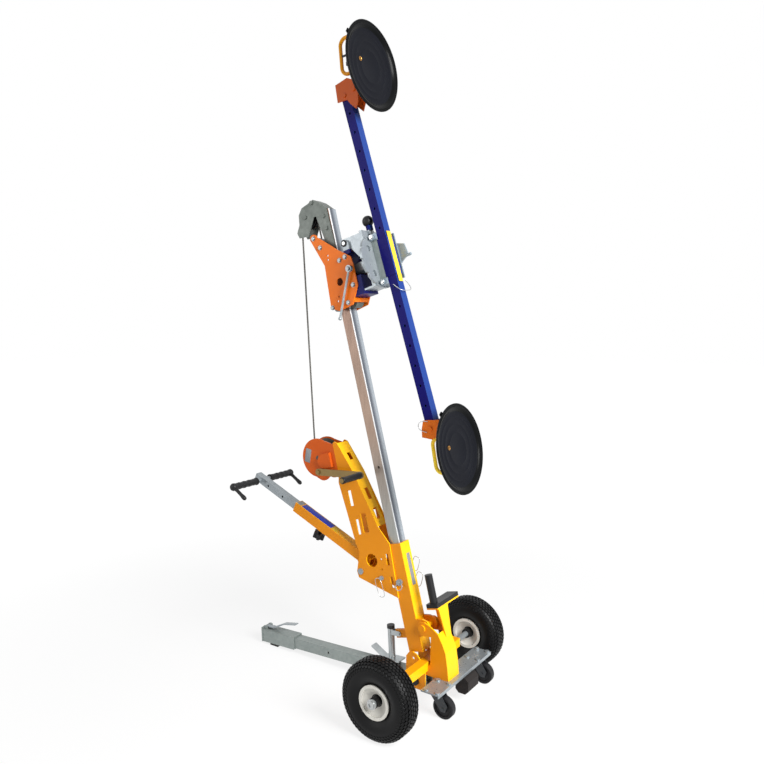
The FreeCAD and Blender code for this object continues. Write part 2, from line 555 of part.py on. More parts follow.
# Pneumatic wheels
def tyre():
    half = S.tyre_width / 2
    inner = S.rim_width / 2 - S.rim_lip
    bead = S.rim_radius + S.rim_lip + S.clear_gap * 2
    right = [(half * across, S.tyre_radius * out) for across, out in TYRE_SHARES]
    right += [(inner, bead), (inner, S.rim_radius)]
    return turned(right + [(-place, radius) for place, radius in reversed(right)], "Y")


def rim():
    half = S.rim_width / 2
    lip = half - S.rim_lip + S.clear_gap
    dish, root, ring = RIM_DISH_SHARES
    barrel = S.rim_radius - S.fit_gap
    step = S.rim_radius * RIM_STEP_SHARE
    right = [(S.hub_width / 2, S.axle_radius + S.run_gap), (S.hub_width / 2, S.hub_radius),
             (half * dish, S.hub_radius), (half * dish, S.rim_radius * root), (half * ring, step),
             (half, step), (half, S.rim_radius + S.rim_lip), (lip, S.rim_radius + S.rim_lip), (lip, barrel)]
    return turned(right + [(-place, radius) for place, radius in reversed(right)], "Y")


for side, place in (("near", -WHEEL_Y), ("far", WHEEL_Y)):
    node("tyre_" + side, tyre(), y=place, up=S.axle_height)
    node("rim_" + side, rim(), y=place, up=S.axle_height)


# Caster plate with its front lip and dome bolts
def caster_plate():
    parts = [box(S.caster_plate_back, CASTER_PLATE_Y - S.caster_plate_half, PLATE_LOW,
                 S.caster_plate_depth, S.caster_plate_half * 2, S.plate_thickness),
             box(S.caster_plate_back + S.caster_plate_depth - S.plate_thickness / 2,
                 CASTER_PLATE_Y - S.caster_plate_half, PLATE_TOP - S.caster_plate_lip,
                 S.plate_thickness / 2, S.caster_plate_half * 2, S.caster_plate_lip)]
    for turn in (-1, 1):
        for step_x in (-1, 1):
            for step_y in (-1, 1):
                parts.append(rod("Z", S.caster_x + S.caster_bolt_dx / 2 * step_x,
                                 CASTER_PLATE_Y + S.caster_half * turn + S.caster_bolt_dy / 2 * step_y,
                                 PLATE_TOP, S.dome_radius, S.dome_height))
    return fused(*parts)


node("caster_plate", caster_plate())


# Swivel casters, the wheel trailing forward of its swivel
def fork():
    cheek_in = S.caster_wheel_width / 2 + S.fork_gap
    low = S.caster_wheel_radius - S.caster_pin * 2
    top = PLATE_LOW - S.clear_gap
    outline = spread(FORK_SHARES, 0.0, low, S.fork_depth, top - low)
    parts = pair(lambda start, width: prism(outline, start, width), cheek_in, S.fork_sheet)
    parts.append(rod("Z", 0.0, 0.0, top - S.fork_sheet * 2, S.fork_plate / 2, S.fork_sheet * 2))
    parts.append(cross_rod(S.caster_trail, S.caster_wheel_radius, S.caster_pin,
                           cheek_in + S.fork_sheet * 2))
    return fused(*parts)


def caster_wheel():
    half = S.caster_wheel_width / 2
    radius = S.caster_wheel_radius
    right = [(half, S.caster_pin + S.run_gap)]
    right += [(half * across, radius * out) for across, out in CASTER_WHEEL_SHARES]
    return turned(right + [(-place, out) for place, out in reversed(right)], "Y")


for side, turn in (("near", -1), ("far", 1)):
    caster_y = CASTER_PLATE_Y + S.caster_half * turn
    node("caster_fork_" + side, fork(), fwd=S.caster_x, y=caster_y)
    node("caster_wheel_" + side, caster_wheel(), fwd=S.caster_x + S.caster_trail, y=caster_y,
         up=S.caster_wheel_radius)


# Rubber bumper under the caster plate, step pad and pivot pins
def bumper():
    low = S.bumper_bottom
    high = PLATE_LOW
    back = S.bumper_back
    front = S.bumper_back + S.bumper_depth
    nick = S.bumper_chamfer
    lip_x = S.caster_plate_back + S.caster_plate_depth - S.plate_thickness / 2
    lip_z = PLATE_TOP - S.caster_plate_lip
    outline = [(back + nick, low), (front - nick, low), (front, low + nick), (front, lip_z - nick),
               (front - nick, lip_z), (lip_x, lip_z), (lip_x, high), (back, high), (back, low + nick)]
    return prism(outline, CASTER_PLATE_Y + S.bumper_shift - S.bumper_length / 2, S.bumper_length)


node("bumper_block", bumper())
node("step_pad", fused(box(-S.step_width / 2, S.step_pad_start, -S.step_pad_height / 2, S.step_width,
                           S.step_pad_length, S.step_pad_height),
                       rod("Z", 0.0, S.post_y, S.step_pad_height / 2, S.post_radius, S.post_height)), STEP)


def headed_pin(radius, reach, head_radius, head):
    """A pin across the machine with a round head outside each end of its reach."""
    return fused(cross_rod(0.0, 0.0, radius, reach + head),
                 rod("Y", 0.0, reach, 0.0, head_radius, head),
                 rod("Y", 0.0, -(as_size(reach) + head), 0.0, head_radius, head))


LEG_SPACER_IN = S.leg_size / 2 + S.clear_gap
LEG_SPACER = FLANGE_OUT - LEG_SPACER_IN - S.clear_gap
node("leg_pin", fused(headed_pin(S.leg_pin_radius, EAR_OUT, S.bush_radius, S.bush_length),
                      rod("Y", 0.0, LEG_SPACER_IN, 0.0, S.bush_radius, LEG_SPACER),
                      rod("Y", 0.0, -(LEG_SPACER_IN + LEG_SPACER), 0.0, S.bush_radius, LEG_SPACER)),
     LEG)
node("tilt_pin", headed_pin(S.pivot_radius, FLANGE_OUT, S.pivot_head_radius, S.pivot_head), MAST,
     S.pivot_fwd, 0.0, S.pivot_up)


# Rear leg: inner tube, sliding sleeve, rubber foot and lock lever
def square_tube(x, length, outer, wall, ends=0.0):
    """A square tube along X about its own middle."""
    inner = outer - wall
    solid = box(x, -outer, -outer, length, outer * 2, outer * 2)
    hollow = box(x - S.overrun + ends, -inner, -inner, length + S.overrun * 2 - ends, inner * 2, inner * 2)
    return cut(solid, hollow)


node("leg_tube", cut(square_tube(S.leg_front - S.leg_length, S.leg_length, S.leg_size / 2, S.leg_wall),
                     cross_rod(0.0, 0.0, S.leg_pin_radius + S.run_gap, S.leg_size),
                     cross_rod(-S.leg_hole_at, 0.0, S.leg_hole_radius, S.leg_size)), LEG)


def leg_sleeve():
    end = -SLEEVE_END
    tube = square_tube(end, S.sleeve_length, SLEEVE_OUT, S.sleeve_wall)
    half = S.end_plate_width / 2
    plate = box(end - S.end_plate, -half, -SLEEVE_OUT, S.end_plate, S.end_plate_width,
                SLEEVE_OUT * 2 + S.lever_lug)
    lugs = pair(lambda start, width: box(end, start, SLEEVE_OUT, S.lever_lug * 2, width,
                                         S.lever_lug * LUG_RISE_SHARE),
                S.leg_lever_width / 2 + S.clear_gap, S.lever_lug - S.clear_gap)
    return cut(fused(tube, plate, *lugs),
               cross_rod(end + S.lever_lug, SLEEVE_OUT + S.lever_lug, S.leg_lever_radius + S.run_gap,
                         S.leg_size))


node("leg_sleeve", leg_sleeve(), LEG)


def leg_foot():
    tilt_sin = sine(S.leg_angle)
    tilt_cos = cosine(S.leg_angle)
    front = -(FOOT_AT - S.foot_length / 2)
    back = -(FOOT_AT + S.foot_length / 2)

    def ground(place):
        return (-S.leg_z - place * tilt_sin) / tilt_cos

    outline = [(back, -SLEEVE_OUT), (front, -SLEEVE_OUT), (front, ground(front)), (back, ground(back))]
    return prism(outline, -S.foot_width / 2, S.foot_width)


node("leg_foot", leg_foot(), LEG)


def leg_lever():
    strip = prism([(S.leg_lever_length * along, S.leg_lever_rise * rise + S.leg_lever_sheet * thick)
                   for along, rise, thick in LEG_LEVER_SHARES], -S.leg_lever_width / 2, S.leg_lever_width)
    pin = cross_rod(0.0, 0.0, S.leg_lever_radius, S.leg_lever_width / 2 + S.lever_lug)
    return fused(strip, pin)


node("leg_lever", leg_lever(), LEG, -SLEEVE_END + S.lever_lug, 0.0,
     SLEEVE_OUT + S.lever_lug)


# Prop between the mast's tab and the leg, with its pedal
def prop():
    plate_back = -S.prop_plate_back
    half = S.prop_plate_width / 2
    thick = S.plate_thickness
    base = box(plate_back, -half, -thick, S.prop_plate_length, S.prop_plate_width, thick)
    pedal = prism([(plate_back, -thick), (plate_back, 0.0), (plate_back - S.pedal_reach, S.pedal_rise),
                   (plate_back - S.pedal_reach, S.pedal_rise - thick)], -half * PEDAL_SHARE,
                  half * (2 * PEDAL_SHARE))
    rear, wide = RUBBER_SHARES
    rubber = box(-S.prop_rubber_length * rear, -half * wide, -thick - S.prop_rubber, S.prop_rubber_length,
                 half * (2 * wide), S.prop_rubber)
    post = rod("Z", 0.0, 0.0, 0.0, S.prop_radius, S.prop_height)
    cap = rod("Z", 0.0, 0.0, S.prop_height - S.prop_cap / 2, S.prop_cap_radius, S.prop_cap)
    bolt_x, bolt_z = MAST.point(S.tab_bolt_fwd, S.tab_bolt_up)
    along_x = bolt_x - S.prop_x
    along_z = bolt_z - S.prop_z
    lean_cos = cosine(S.prop_angle)
    lean_sin = sine(S.prop_angle)
    eye_x = along_x * lean_cos + along_z * lean_sin
    eye_z = along_z * lean_cos - along_x * lean_sin
    link_in = S.tab_width / 2 + S.clear_gap
    parts = [base, pedal, rubber, post, cap,
             cross_rod(eye_x, eye_z, S.tab_bolt_radius, link_in + S.link_sheet * 2)]
    parts += pair(lambda start, width: box(0.0, start, eye_z - S.link_half, eye_x, width, S.link_half * 2),
                  link_in, S.link_sheet)
    parts += pair(lambda start, width: rod("Y", eye_x, start, eye_z, S.link_half, width), link_in,
                  S.link_sheet)
    return fused(*parts)


node("prop_post", prop(), PROP)


# Mast socket with pivot lugs and the prop's tab
def mast_socket():
    outer = SOCKET_OUT
    length = S.socket_top - S.socket_bottom
    tube = box(-outer, -outer, S.socket_bottom, outer * 2, outer * 2, length)
    inside = box(-SOCKET_IN, -SOCKET_IN, S.socket_bottom - S.overrun, SOCKET_IN * 2, SOCKET_IN * 2,
                 length + S.overrun * 2)

    def lug(start, width):
        return prism(spread(LUG_SHARES, outer, S.lug_low, S.lug_depth, S.lug_height), start, width)

    tab = box(-outer - S.tab_reach, -S.tab_width / 2, S.tab_low, S.tab_reach, S.tab_width, S.tab_height)
    solid = fused(tube, tab, *pair(lug, outer - S.lug_width, S.lug_width))
    reach = outer + S.overrun
    return cut(solid, inside, cross_rod(S.pivot_fwd, S.pivot_up, S.pivot_radius + S.run_gap, reach),
               cross_rod(S.tab_bolt_fwd, S.tab_bolt_up, S.tab_bolt_radius + S.run_gap, reach),
               cross_rod(S.socket_pin_fwd, S.socket_pin_up, S.socket_pin_radius + S.run_gap, reach))


node("mast_socket", mast_socket(), MAST)


# Tower: two side plates against the socket's sides and a slotted front spine
def tower():
    def side(start, width):
        return prism(spread(TOWER_SHARES, S.tower_back, S.tower_bottom, S.tower_depth, S.tower_height),
                     start, width)

    spine = prism(spread(SPINE_SHARES, S.tower_back, S.tower_bottom, S.tower_depth, S.tower_height),
                  -TOWER_IN, TOWER_IN * 2)
    solid = fused(*pair(side, TOWER_IN, S.plate_thickness), spine)
    reach = TOWER_OUT + S.overrun
    tools = []
    for left, right, low, high in SIDE_SLOT_SHARES:
        tools.append(box(S.tower_back + S.tower_depth * left, TOWER_IN - S.overrun,
                         S.tower_bottom + S.tower_height * low, S.tower_depth * (right - left),
                         S.plate_thickness + S.overrun * 2, S.tower_height * (high - low)))
        tools.append(box(S.tower_back + S.tower_depth * left, -(TOWER_OUT + S.overrun),
                         S.tower_bottom + S.tower_height * low, S.tower_depth * (right - left),
                         S.plate_thickness + S.overrun * 2, S.tower_height * (high - low)))
    half = S.tower_depth * SPINE_SLOT_WIDTH_SHARE / 2
    for low, high in SPINE_SLOT_SHARES:
        tools.append(box(S.tower_back, -half, S.tower_bottom + S.tower_height * low, S.tower_depth,
                         half * 2, S.tower_height * (high - low)))
    for across, along in TOWER_HOLE_SHARES:
        tools.append(cross_rod(S.tower_back + S.tower_depth * across, S.tower_bottom + S.tower_height * along,
                               S.small_hole_radius, reach))
    across, along = BIG_HOLE_SHARES
    tools.append(cross_rod(S.tower_back + S.tower_depth * across, S.tower_bottom + S.tower_height * along,
                           S.big_hole_radius, reach))
    tools.append(cross_rod(S.handle_pivot_fwd, S.handle_pivot_up, S.handle_bolt_radius + S.run_gap, reach))
    tools.append(cross_rod(S.snap_pin_fwd, S.snap_pin_up, S.snap_pin_radius + S.run_gap, reach))
    return cut(solid, *tools)


node("tower_frame", tower(), MAST)
node("handle_bolt", headed_pin(S.handle_bolt_radius, TOWER_OUT, S.handle_bolt_head, S.plate_thickness),
     HANDLE)


# Mast tube, closed at its top
def mast_tube():
    inner = HALF_MAST - S.mast_wall
    length = S.mast_top - S.mast_bottom
    solid = box(-HALF_MAST, -HALF_MAST, S.mast_bottom, S.mast_size, S.mast_size, length)
    inside = box(-inner, -inner, S.mast_bottom - S.overrun, inner * 2, inner * 2,
                 length + S.overrun - S.mast_wall)
    return cut(solid, inside, cross_rod(0.0, S.mast_hole_at, S.mast_hole_radius, S.mast_size),
               cross_rod(S.socket_pin_fwd, S.socket_pin_up, S.socket_pin_radius + S.run_gap, S.mast_size))


node("mast_tube", mast_tube(), MAST)


# Gooseneck plates over the mast's top, their bolts and cover
def gooseneck():
    def plate(start, width):
        return prism(spread(GOOSE_SHARES, S.goose_back, S.goose_bottom, S.goose_depth, S.goose_height),
                     start, width)

    cover = prism(spread(COVER_SHARES, S.goose_back, S.goose_bottom, S.goose_depth, S.goose_height),
                  -HALF_MAST, S.mast_size)
    out = HALF_MAST + S.goose_sheet
    parts = pair(plate, HALF_MAST, S.goose_sheet) + [cover]
    parts.append(cross_rod(S.sheave_fwd, S.sheave_up, S.sheave_pin, out + S.bolt_head))
    spots = [(S.goose_back + S.goose_depth * across, S.goose_bottom + S.goose_height * along)
             for across, along in GOOSE_BOLT_SHARES]
    for across, along in spots + [(S.sheave_fwd, S.sheave_up)]:
        parts += pair(lambda start, width, a=across, b=along: rod("Y", a, start, b, S.bolt_head_radius,
                                                                  width), out, S.bolt_head)
    return fused(*parts)


node("gooseneck", gooseneck(), MAST)


def sheave():
    half = HALF_MAST - S.clear_gap
    side = S.sheave_width / 2
    floor = S.rope_radius * GROOVE_FLOOR_SHARE
    right = [(half, S.sheave_pin + S.run_gap), (half, S.sheave_hub), (side, S.sheave_hub),
             (side, S.sheave_radius), (side * SHEAVE_RIM_SHARE, S.sheave_radius), (floor, S.sheave_groove)]
    return turned(right + [(-place, radius) for place, radius in reversed(right)], "Y")


node("sheave", sheave(), MAST, S.sheave_fwd, 0.0, S.sheave_up)


# Winch frame: two round plates joined by a web against the tower
def winch_frame():
    def plate(start, width):
        points = [(DRUM_FWD + S.winch_radius * across, DRUM_UP + S.winch_radius * along)
                  for across, along in WINCH_SHARES]
        return fused(prism(points, start, width), rod("Y", DRUM_FWD, start, DRUM_UP, S.winch_radius, width),
                     rod("Y", CRANK_FWD, start, CRANK_UP, S.crank_boss, width))

    web_low, web_high = WINCH_WEB_SHARES
    web = box(WEB_FRONT - S.plate_thickness, -WINCH_OUT, S.tower_bottom + S.tower_height * web_low,
              S.plate_thickness, WINCH_OUT * 2, S.tower_height * (web_high - web_low))
    cover_fwd = DRUM_FWD + S.cover_ahead
    cover_up = DRUM_UP - S.cover_drop
    cover_y = -(WINCH_OUT + S.gear_cover)
    cover = fused(rod("Y", cover_fwd, cover_y, cover_up, S.gear_cover_radius, S.gear_cover),
                  box(cover_fwd, cover_y, cover_up - S.gear_cover_radius, S.gear_cover_reach, S.gear_cover,
                      S.gear_cover_radius * 2))
    solid = fused(*pair(plate, S.winch_half, S.winch_sheet), web, cover)
    reach = WINCH_OUT + S.overrun
    trim = box(WEB_FRONT, -reach, DRUM_UP - S.winch_radius * 2, S.winch_radius, reach * 2,
               S.winch_radius * 4)
    return cut(solid, trim, cross_rod(DRUM_FWD, DRUM_UP, S.drum_shaft + S.run_gap, reach),
               rod("Y", CRANK_FWD, -reach, CRANK_UP, S.drum_shaft + S.run_gap,
                   S.winch_sheet + S.overrun * 2))


node("winch_frame", winch_frame(), MAST)


def winch_drum():
    half = S.drum_half
    rim_out = half + S.drum_flange_sheet
    right = [(WINCH_OUT, 0.0), (WINCH_OUT, S.drum_shaft), (rim_out, S.drum_shaft), (rim_out, S.drum_flange),
             (half, S.drum_flange), (half, S.drum_core)]
    return turned(right + [(-place, radius) for place, radius in reversed(right)], "Y")


node("winch_drum", winch_drum(), MAST, DRUM_FWD, 0.0, DRUM_UP)


def tube_along(path, start, direction, radius):
    """A round tube along a wire of lines and arcs."""
    circle = Part.Wire([Part.makeCircle(radius, start, direction)])
    shell = Part.BRepOffsetAPI.MakePipeShell(path)
    shell.add(circle)
    shell.build()
    shell.makeSolid()
    return shell.shape()


def biarc(start, start_way, end, end_way):
    """Two arcs that leave one point and reach another along given ways."""
    chord = end - start
    ways = start_way + end_way
    bend = 2 * (start_way.dot(end_way) - 1)
    forward = chord.dot(ways)
    leg = (forward - math.sqrt(forward ** 2 - bend * chord.dot(chord))) / bend
    corners = (start + start_way * leg, end - end_way * leg)
    joint = (corners[0] + corners[1]) * 0.5
    arcs = []
    for first, corner, last in ((start, corners[0], joint), (joint, corners[1], end)):
        middle = (first + last) * 0.5
        flat = (last - first).Length / 2 / leg
        arcs.append(Part.Arc(first, middle + (corner - middle) * (flat / (1 + flat)), last).toShape())
    return arcs


def least_gap(path, tube, apart):
    """The least room between points of one tube that lie further apart along it than a given length."""
    count = int(path.Length / tube)
    spots = path.discretize(count)
    skip = int(apart * count / path.Length)
    return min(spots[index].distanceToPoint(other)
               for index in range(count) for other in spots[index + skip:]) - 2 * tube


def rope_winding():
    """The rope's loops on the drum as one unbroken tube, each quarter turn a pair of arcs."""
    pitch = S.winding_pitch.value
    radius = WINDING_RADIUS.value
    tube = S.rope_radius.value
    start = -pitch * (WINDING_LOOPS + 1) / 2
    spots = []
    ways = []
    for index in range(WINDING_LOOPS * 4 + 1):
        turn = index * math.pi / 2
        spots.append(FreeCAD.Vector(DRUM_FWD.value - radius * math.cos(turn), start + pitch * index / 4,
                                    DRUM_UP.value + radius * math.sin(turn)))
        way = FreeCAD.Vector(radius * math.sin(turn), pitch / (2 * math.pi), radius * math.cos(turn))
        ways.append(way * (1 / way.Length))
    tail = spots[0] - ways[0] * tube * 2
    edges = [Part.LineSegment(tail, spots[0]).toShape()]
    for index in range(WINDING_LOOPS * 4):
        edges += biarc(spots[index], ways[index], spots[index + 1], ways[index + 1])
    edges.append(Part.LineSegment(spots[-1], spots[-1] + ways[-1] * tube * 2).toShape())
    path = Part.Wire(edges)
    solid = tube_along(path, tail, ways[0], tube)
    print("winding's least gap to itself %.2f mm" % least_gap(path, tube, math.pi * radius))
    print("winding volume share of a straight tube %.4f"
          % (solid.Volume / (path.Length * math.pi * tube ** 2)))
    print("winding length %.0f mm" % path.Length)
    return solid


shaped("rope_winding", rope_winding(), MAST)


# Rope from the drum over the sheave, and its run down to the carriage
def rope_up():
    """From half a turn on the drum, beside the winding's last loop, up and over the sheave."""
    lane = S.winding_pitch.value * (WINDING_LOOPS + 1) / 2
    drum = FreeCAD.Vector(DRUM_FWD.value, lane, DRUM_UP.value)
    wheel = FreeCAD.Vector(S.sheave_fwd.value, 0, S.sheave_up.value)
    over = S.sheave_groove.value + S.clear_gap.value + S.rope_radius.value
    lead = WINDING_RADIUS.value
    line = wheel - drum
    reach = line.Length
    along = line * (1 / reach)
    left = FreeCAD.Vector(-along.z, 0, along.x)
    left = left * (1 / left.Length)
    lean = (lead - over) / reach
    normal = left * math.sqrt(1 - lean ** 2) + along * lean
    travel = along * math.sqrt(1 - lean ** 2) - left * lean
    leave = drum + normal * lead
    meet = wheel + normal * over
    swing = math.acos(normal.x)
    first = drum - normal * lead
    crown = wheel + (normal * math.cos(swing / 2) + travel * math.sin(swing / 2)) * over
    last = wheel + (normal * math.cos(swing) + travel * math.sin(swing)) * over
    path = Part.Wire([Part.Arc(first, drum - travel * lead, leave).toShape(),
                      Part.LineSegment(leave, meet).toShape(), Part.Arc(meet, crown, last).toShape()])
    solid = tube_along(path, first, -travel, S.rope_radius.value)
    print("rope radius over the sheave %.1f mm, on the drum %.1f mm" % (over, lead))
    print("rope length over the sheave %.0f mm" % path.Length)
    print("rope volume share of a straight tube %.4f"
          % (solid.Volume / (path.Length * math.pi * S.rope_radius.value ** 2)))
    return solid


shaped("rope_up", rope_up(), MAST)
ROPE_FRONT = S.sheave_fwd + S.sheave_groove + S.clear_gap + S.rope_radius
ROPE_LOW = S.anchor_up + S.roller_pin + S.clear_gap
node("rope_down", rod("Z", 0.0, 0.0, 0.0, S.rope_radius, S.sheave_up - S.clear_gap - ROPE_LOW), MAST,
     ROPE_FRONT, 0.0, ROPE_LOW)


# Winch crank and its loose grip
def winch_crank():
    arm_y = -(ARM_START + S.crank_sheet)
    half = S.crank_width / 2
    arm = box(0.0, arm_y, -half, S.crank_throw, S.crank_sheet, S.crank_width)
    parts = [arm, rod("Y", 0.0, arm_y, 0.0, half, S.crank_sheet),
             rod("Y", S.crank_throw, arm_y, 0.0, half, S.crank_sheet),
             rod("Y", 0.0, arm_y - S.crank_sheet, 0.0, S.drum_shaft,
                 S.crank_sheet * 2 + S.crank_stand + S.winch_sheet),
             rod("Y", 0.0, -ARM_START, 0.0, half * CRANK_HUB_SHARE, S.crank_stand - S.clear_gap * 2),
             rod("Y", S.crank_throw, arm_y - S.grip_length - S.clear_gap * 2, 0.0, S.grip_pin,
                 S.grip_length + S.clear_gap * 2),
             rod("Y", S.crank_throw, arm_y - S.grip_length - S.clear_gap * 2 - S.crank_sheet / 2, 0.0,
                 S.grip_pin * GRIP_CAP_SHARE, S.crank_sheet / 2)]
    return fused(*parts)


node("winch_crank", winch_crank(), CRANK)
GRIP_Y = -(ARM_START + S.crank_sheet + S.clear_gap + S.grip_length)
node("crank_grip", cut(rod("Y", 0.0, GRIP_Y, 0.0, S.grip_radius, S.grip_length),
                       rod("Y", 0.0, GRIP_Y - S.overrun, 0.0, S.grip_pin + S.run_gap,
                           S.grip_length + S.overrun * 2)), CRANK, S.crank_throw)


# Carriage plates, their pins and the rollers on the mast
FRONT_ROLLER_FWD = HALF_MAST + S.front_roller + S.clear_gap
REAR_ROLLER_FWD = -(HALF_MAST + S.rear_roller + S.clear_gap)
ROLLERS = (("front_upper", FRONT_ROLLER_FWD, S.front_upper, S.front_roller),
           ("front_lower", FRONT_ROLLER_FWD, S.front_lower, S.front_roller),
           ("rear_upper", REAR_ROLLER_FWD, S.rear_upper, S.rear_roller),
           ("rear_lower", REAR_ROLLER_FWD, S.rear_lower, S.rear_roller))
TIES = ((S.anchor_fwd, S.anchor_up), (S.tie_upper_fwd, S.tie_upper_up), (S.tie_lower_fwd, S.tie_lower_up))


def carriage_plates():
    def plate(start, width):
        outline = spread(CARRIAGE_SHARES, S.carriage_back, S.carriage_bottom, S.carriage_depth,
                         S.carriage_height)
        return fused(prism(outline, start, width),
                     rod("Y", S.anchor_fwd, start, S.anchor_up, S.anchor_lobe, width))

    spots = [(fwd, up) for name, fwd, up, radius in ROLLERS] + list(TIES)
    reach = CARRIAGE_OUT + S.overrun
    tools = [cross_rod(fwd, up, S.roller_pin + S.run_gap, reach) for fwd, up in spots]
    tools += [cross_rod(S.carriage_back + S.carriage_depth * across,
                        S.carriage_bottom + S.carriage_height * along, S.small_hole_radius, reach)
              for across, along in CARRIAGE_HOLE_SHARES]
    tools.append(cross_rod(S.window_fwd, S.window_up, S.window_radius, reach))
    tools.append(rod("Y", S.lock_fwd, -reach, S.lock_up, S.roller_pin + S.run_gap,
                     S.plate_thickness + S.overrun * 2))
    tie_height = S.carriage_height * CARRIAGE_TIE_SHARE
    return cut(fused(plate(CARRIAGE_IN, S.plate_thickness), plate(-CARRIAGE_OUT, S.plate_thickness),
                     box(S.block_back, -CARRIAGE_IN, S.carriage_bottom + tie_height, S.plate_thickness,
                         CARRIAGE_IN * 2, tie_height)), *tools)


node("carriage_plates", carriage_plates(), MAST)


def carriage_pins():
    parts = []
    for fwd, up in [(fwd, up) for name, fwd, up, radius in ROLLERS] + list(TIES):
        parts.append(cross_rod(fwd, up, S.roller_pin, CARRIAGE_OUT + S.pin_head_length))
        parts += pair(lambda start, width, a=fwd, b=up: rod("Y", a, start, b, S.pin_head, width),
                      CARRIAGE_OUT, S.pin_head_length)
    thing = DOC.addObject("Part::Compound", "Pins")
    thing.Links = [fused(*parts[index:index + 3]) for index in range(0, len(parts), 3)]
    return thing


node("carriage_pins", carriage_pins(), MAST)
ROLLER_HALF = HALF_MAST + S.clear_gap
for name, fwd, up, radius in ROLLERS:
    node("roller_" + name, cut(cross_rod(0.0, 0.0, radius, ROLLER_HALF),
                               cross_rod(0.0, 0.0, S.roller_pin + S.run_gap, ROLLER_HALF + S.overrun)),
         MAST, fwd, 0.0, up)


# Head block between the carriage plates, with lugs for the head's hinge pin
def carriage_block():
    half = CARRIAGE_IN - S.clear_gap
    low = box(S.block_back, -half, S.block_bottom, S.block_depth, half * 2, S.block_height)
    neck_low = S.block_bottom + S.block_height
    neck = box(S.block_back, -half, neck_low, S.block_neck, half * 2, S.block_top - neck_low)

    def lug(start, width):
        base = S.block_top - S.head_lug_half
        return fused(box(S.block_back, start, base, S.head_lug_half * 2, width, S.head_pin_up - base),
                     rod("Y", S.head_pin_fwd, start, S.head_pin_up, S.head_lug_half, width))

    solid = fused(low, neck, *pair(lug, half - S.head_lug, S.head_lug))
    reach = CARRIAGE_OUT
    return cut(solid, cross_rod(S.head_pin_fwd, S.head_pin_up, S.head_pin + S.run_gap, reach),
               cross_rod(S.tie_upper_fwd, S.tie_upper_up, S.roller_pin + S.run_gap, reach),
               cross_rod(S.tie_lower_fwd, S.tie_lower_up, S.roller_pin + S.run_gap, reach))


node("carriage_block", carriage_block(), MAST)


# Tilting head: hinge box, back plate, shaft housing and the plunger's bridge
def tilt_head():
    turn = S.bar_lean_angle - S.mast_lean_angle
    move_x = (S.bar_foot_x - S.mast_foot_x)
    move_z = (S.bar_foot_z - S.mast_foot_z)
    lean_cos = cosine(S.mast_lean_angle)
    lean_sin = sine(S.mast_lean_angle)
    inside = Frame(move_x * lean_cos + move_z * lean_sin, move_z * lean_cos - move_x * lean_sin, -turn)
    plate_back = S.disc_back - S.clear_gap - S.head_plate_sheet
    up = S.head_axis_up
    hinge = box(S.box_back, -S.box_half, S.box_low, S.box_front - S.box_back, S.box_half * 2,
                S.box_high - S.box_low)
    bridge_low = up + S.disc_radius + S.bridge_gap
    plate_low = up + S.head_plate_low
    plate = inside.hold(box(plate_back, -S.head_plate_half, plate_low, S.head_plate_sheet,
                            S.head_plate_half * 2, bridge_low + S.bridge_height - plate_low))
    shelf = inside.hold(box(S.shelf_back, -S.shelf_half, plate_low, plate_back - S.shelf_back,
                            S.shelf_half * 2, S.shelf_sheet))

    def cheek(start, width):
        return prism(spread(HEAD_CHEEK_SHARES, S.head_cheek_back, S.head_cheek_low,
                            S.head_cheek_front - S.head_cheek_back, S.box_high - S.head_cheek_low),
                     start, width)

    housing_round = rod("X", S.housing_back, 0.0, up, S.housing_radius, plate_back - S.housing_back)
    housing_foot = box(S.housing_back, -S.housing_radius, up, plate_back - S.housing_back,
                       S.housing_radius * 2, S.housing_radius)
    housing = inside.hold(fused(housing_round, housing_foot))
    bridge = inside.hold(box(plate_back, -S.bridge_half, bridge_low, DISC_FRONT - plate_back + S.bridge_lip,
                             S.bridge_half * 2, S.bridge_height))
    pin = cross_rod(S.head_pin_fwd, S.head_pin_up, S.head_pin, CARRIAGE_IN - S.clear_gap)
    seat = S.plunger_radius * PLUNGER_SEAT_SHARE
    bore = inside.hold(fused(
        rod("X", S.housing_back + S.plate_thickness, 0.0, up, S.disc_shaft + S.run_gap,
            S.disc_back - S.housing_back),
        rod("Z", S.disc_back + S.disc_sheet / 2, 0.0, up + S.disc_radius - seat, S.plunger_radius + S.run_gap,
            seat + S.bridge_gap + S.bridge_height + S.overrun)))
    cheeks = pair(cheek, S.box_half - S.plate_thickness, S.plate_thickness)
    return cut(fused(hinge, plate, shelf, *cheeks, housing, bridge, pin), bore)


node("tilt_head", tilt_head(), MAST)


# Lock lever for the head's tilt
def tilt_lever():
    start = CARRIAGE_OUT + S.pin_head_length + S.clear_gap * 2
    boss = rod("Y", 0.0, -(start + S.lock_boss_length), 0.0, S.lock_boss, S.lock_boss_length)
    stud = rod("Y", 0.0, -start, 0.0, S.roller_pin, start - CARRIAGE_IN)
    middle = -(start + S.lock_boss_length / 2)
    return fused(boss, stud, rod("Z", 0.0, middle, -S.lock_length, S.lock_rod, S.lock_length),
                 ball(0.0, middle, -S.lock_length, S.lock_ball))


node("tilt_lever", tilt_lever(), LOCK)


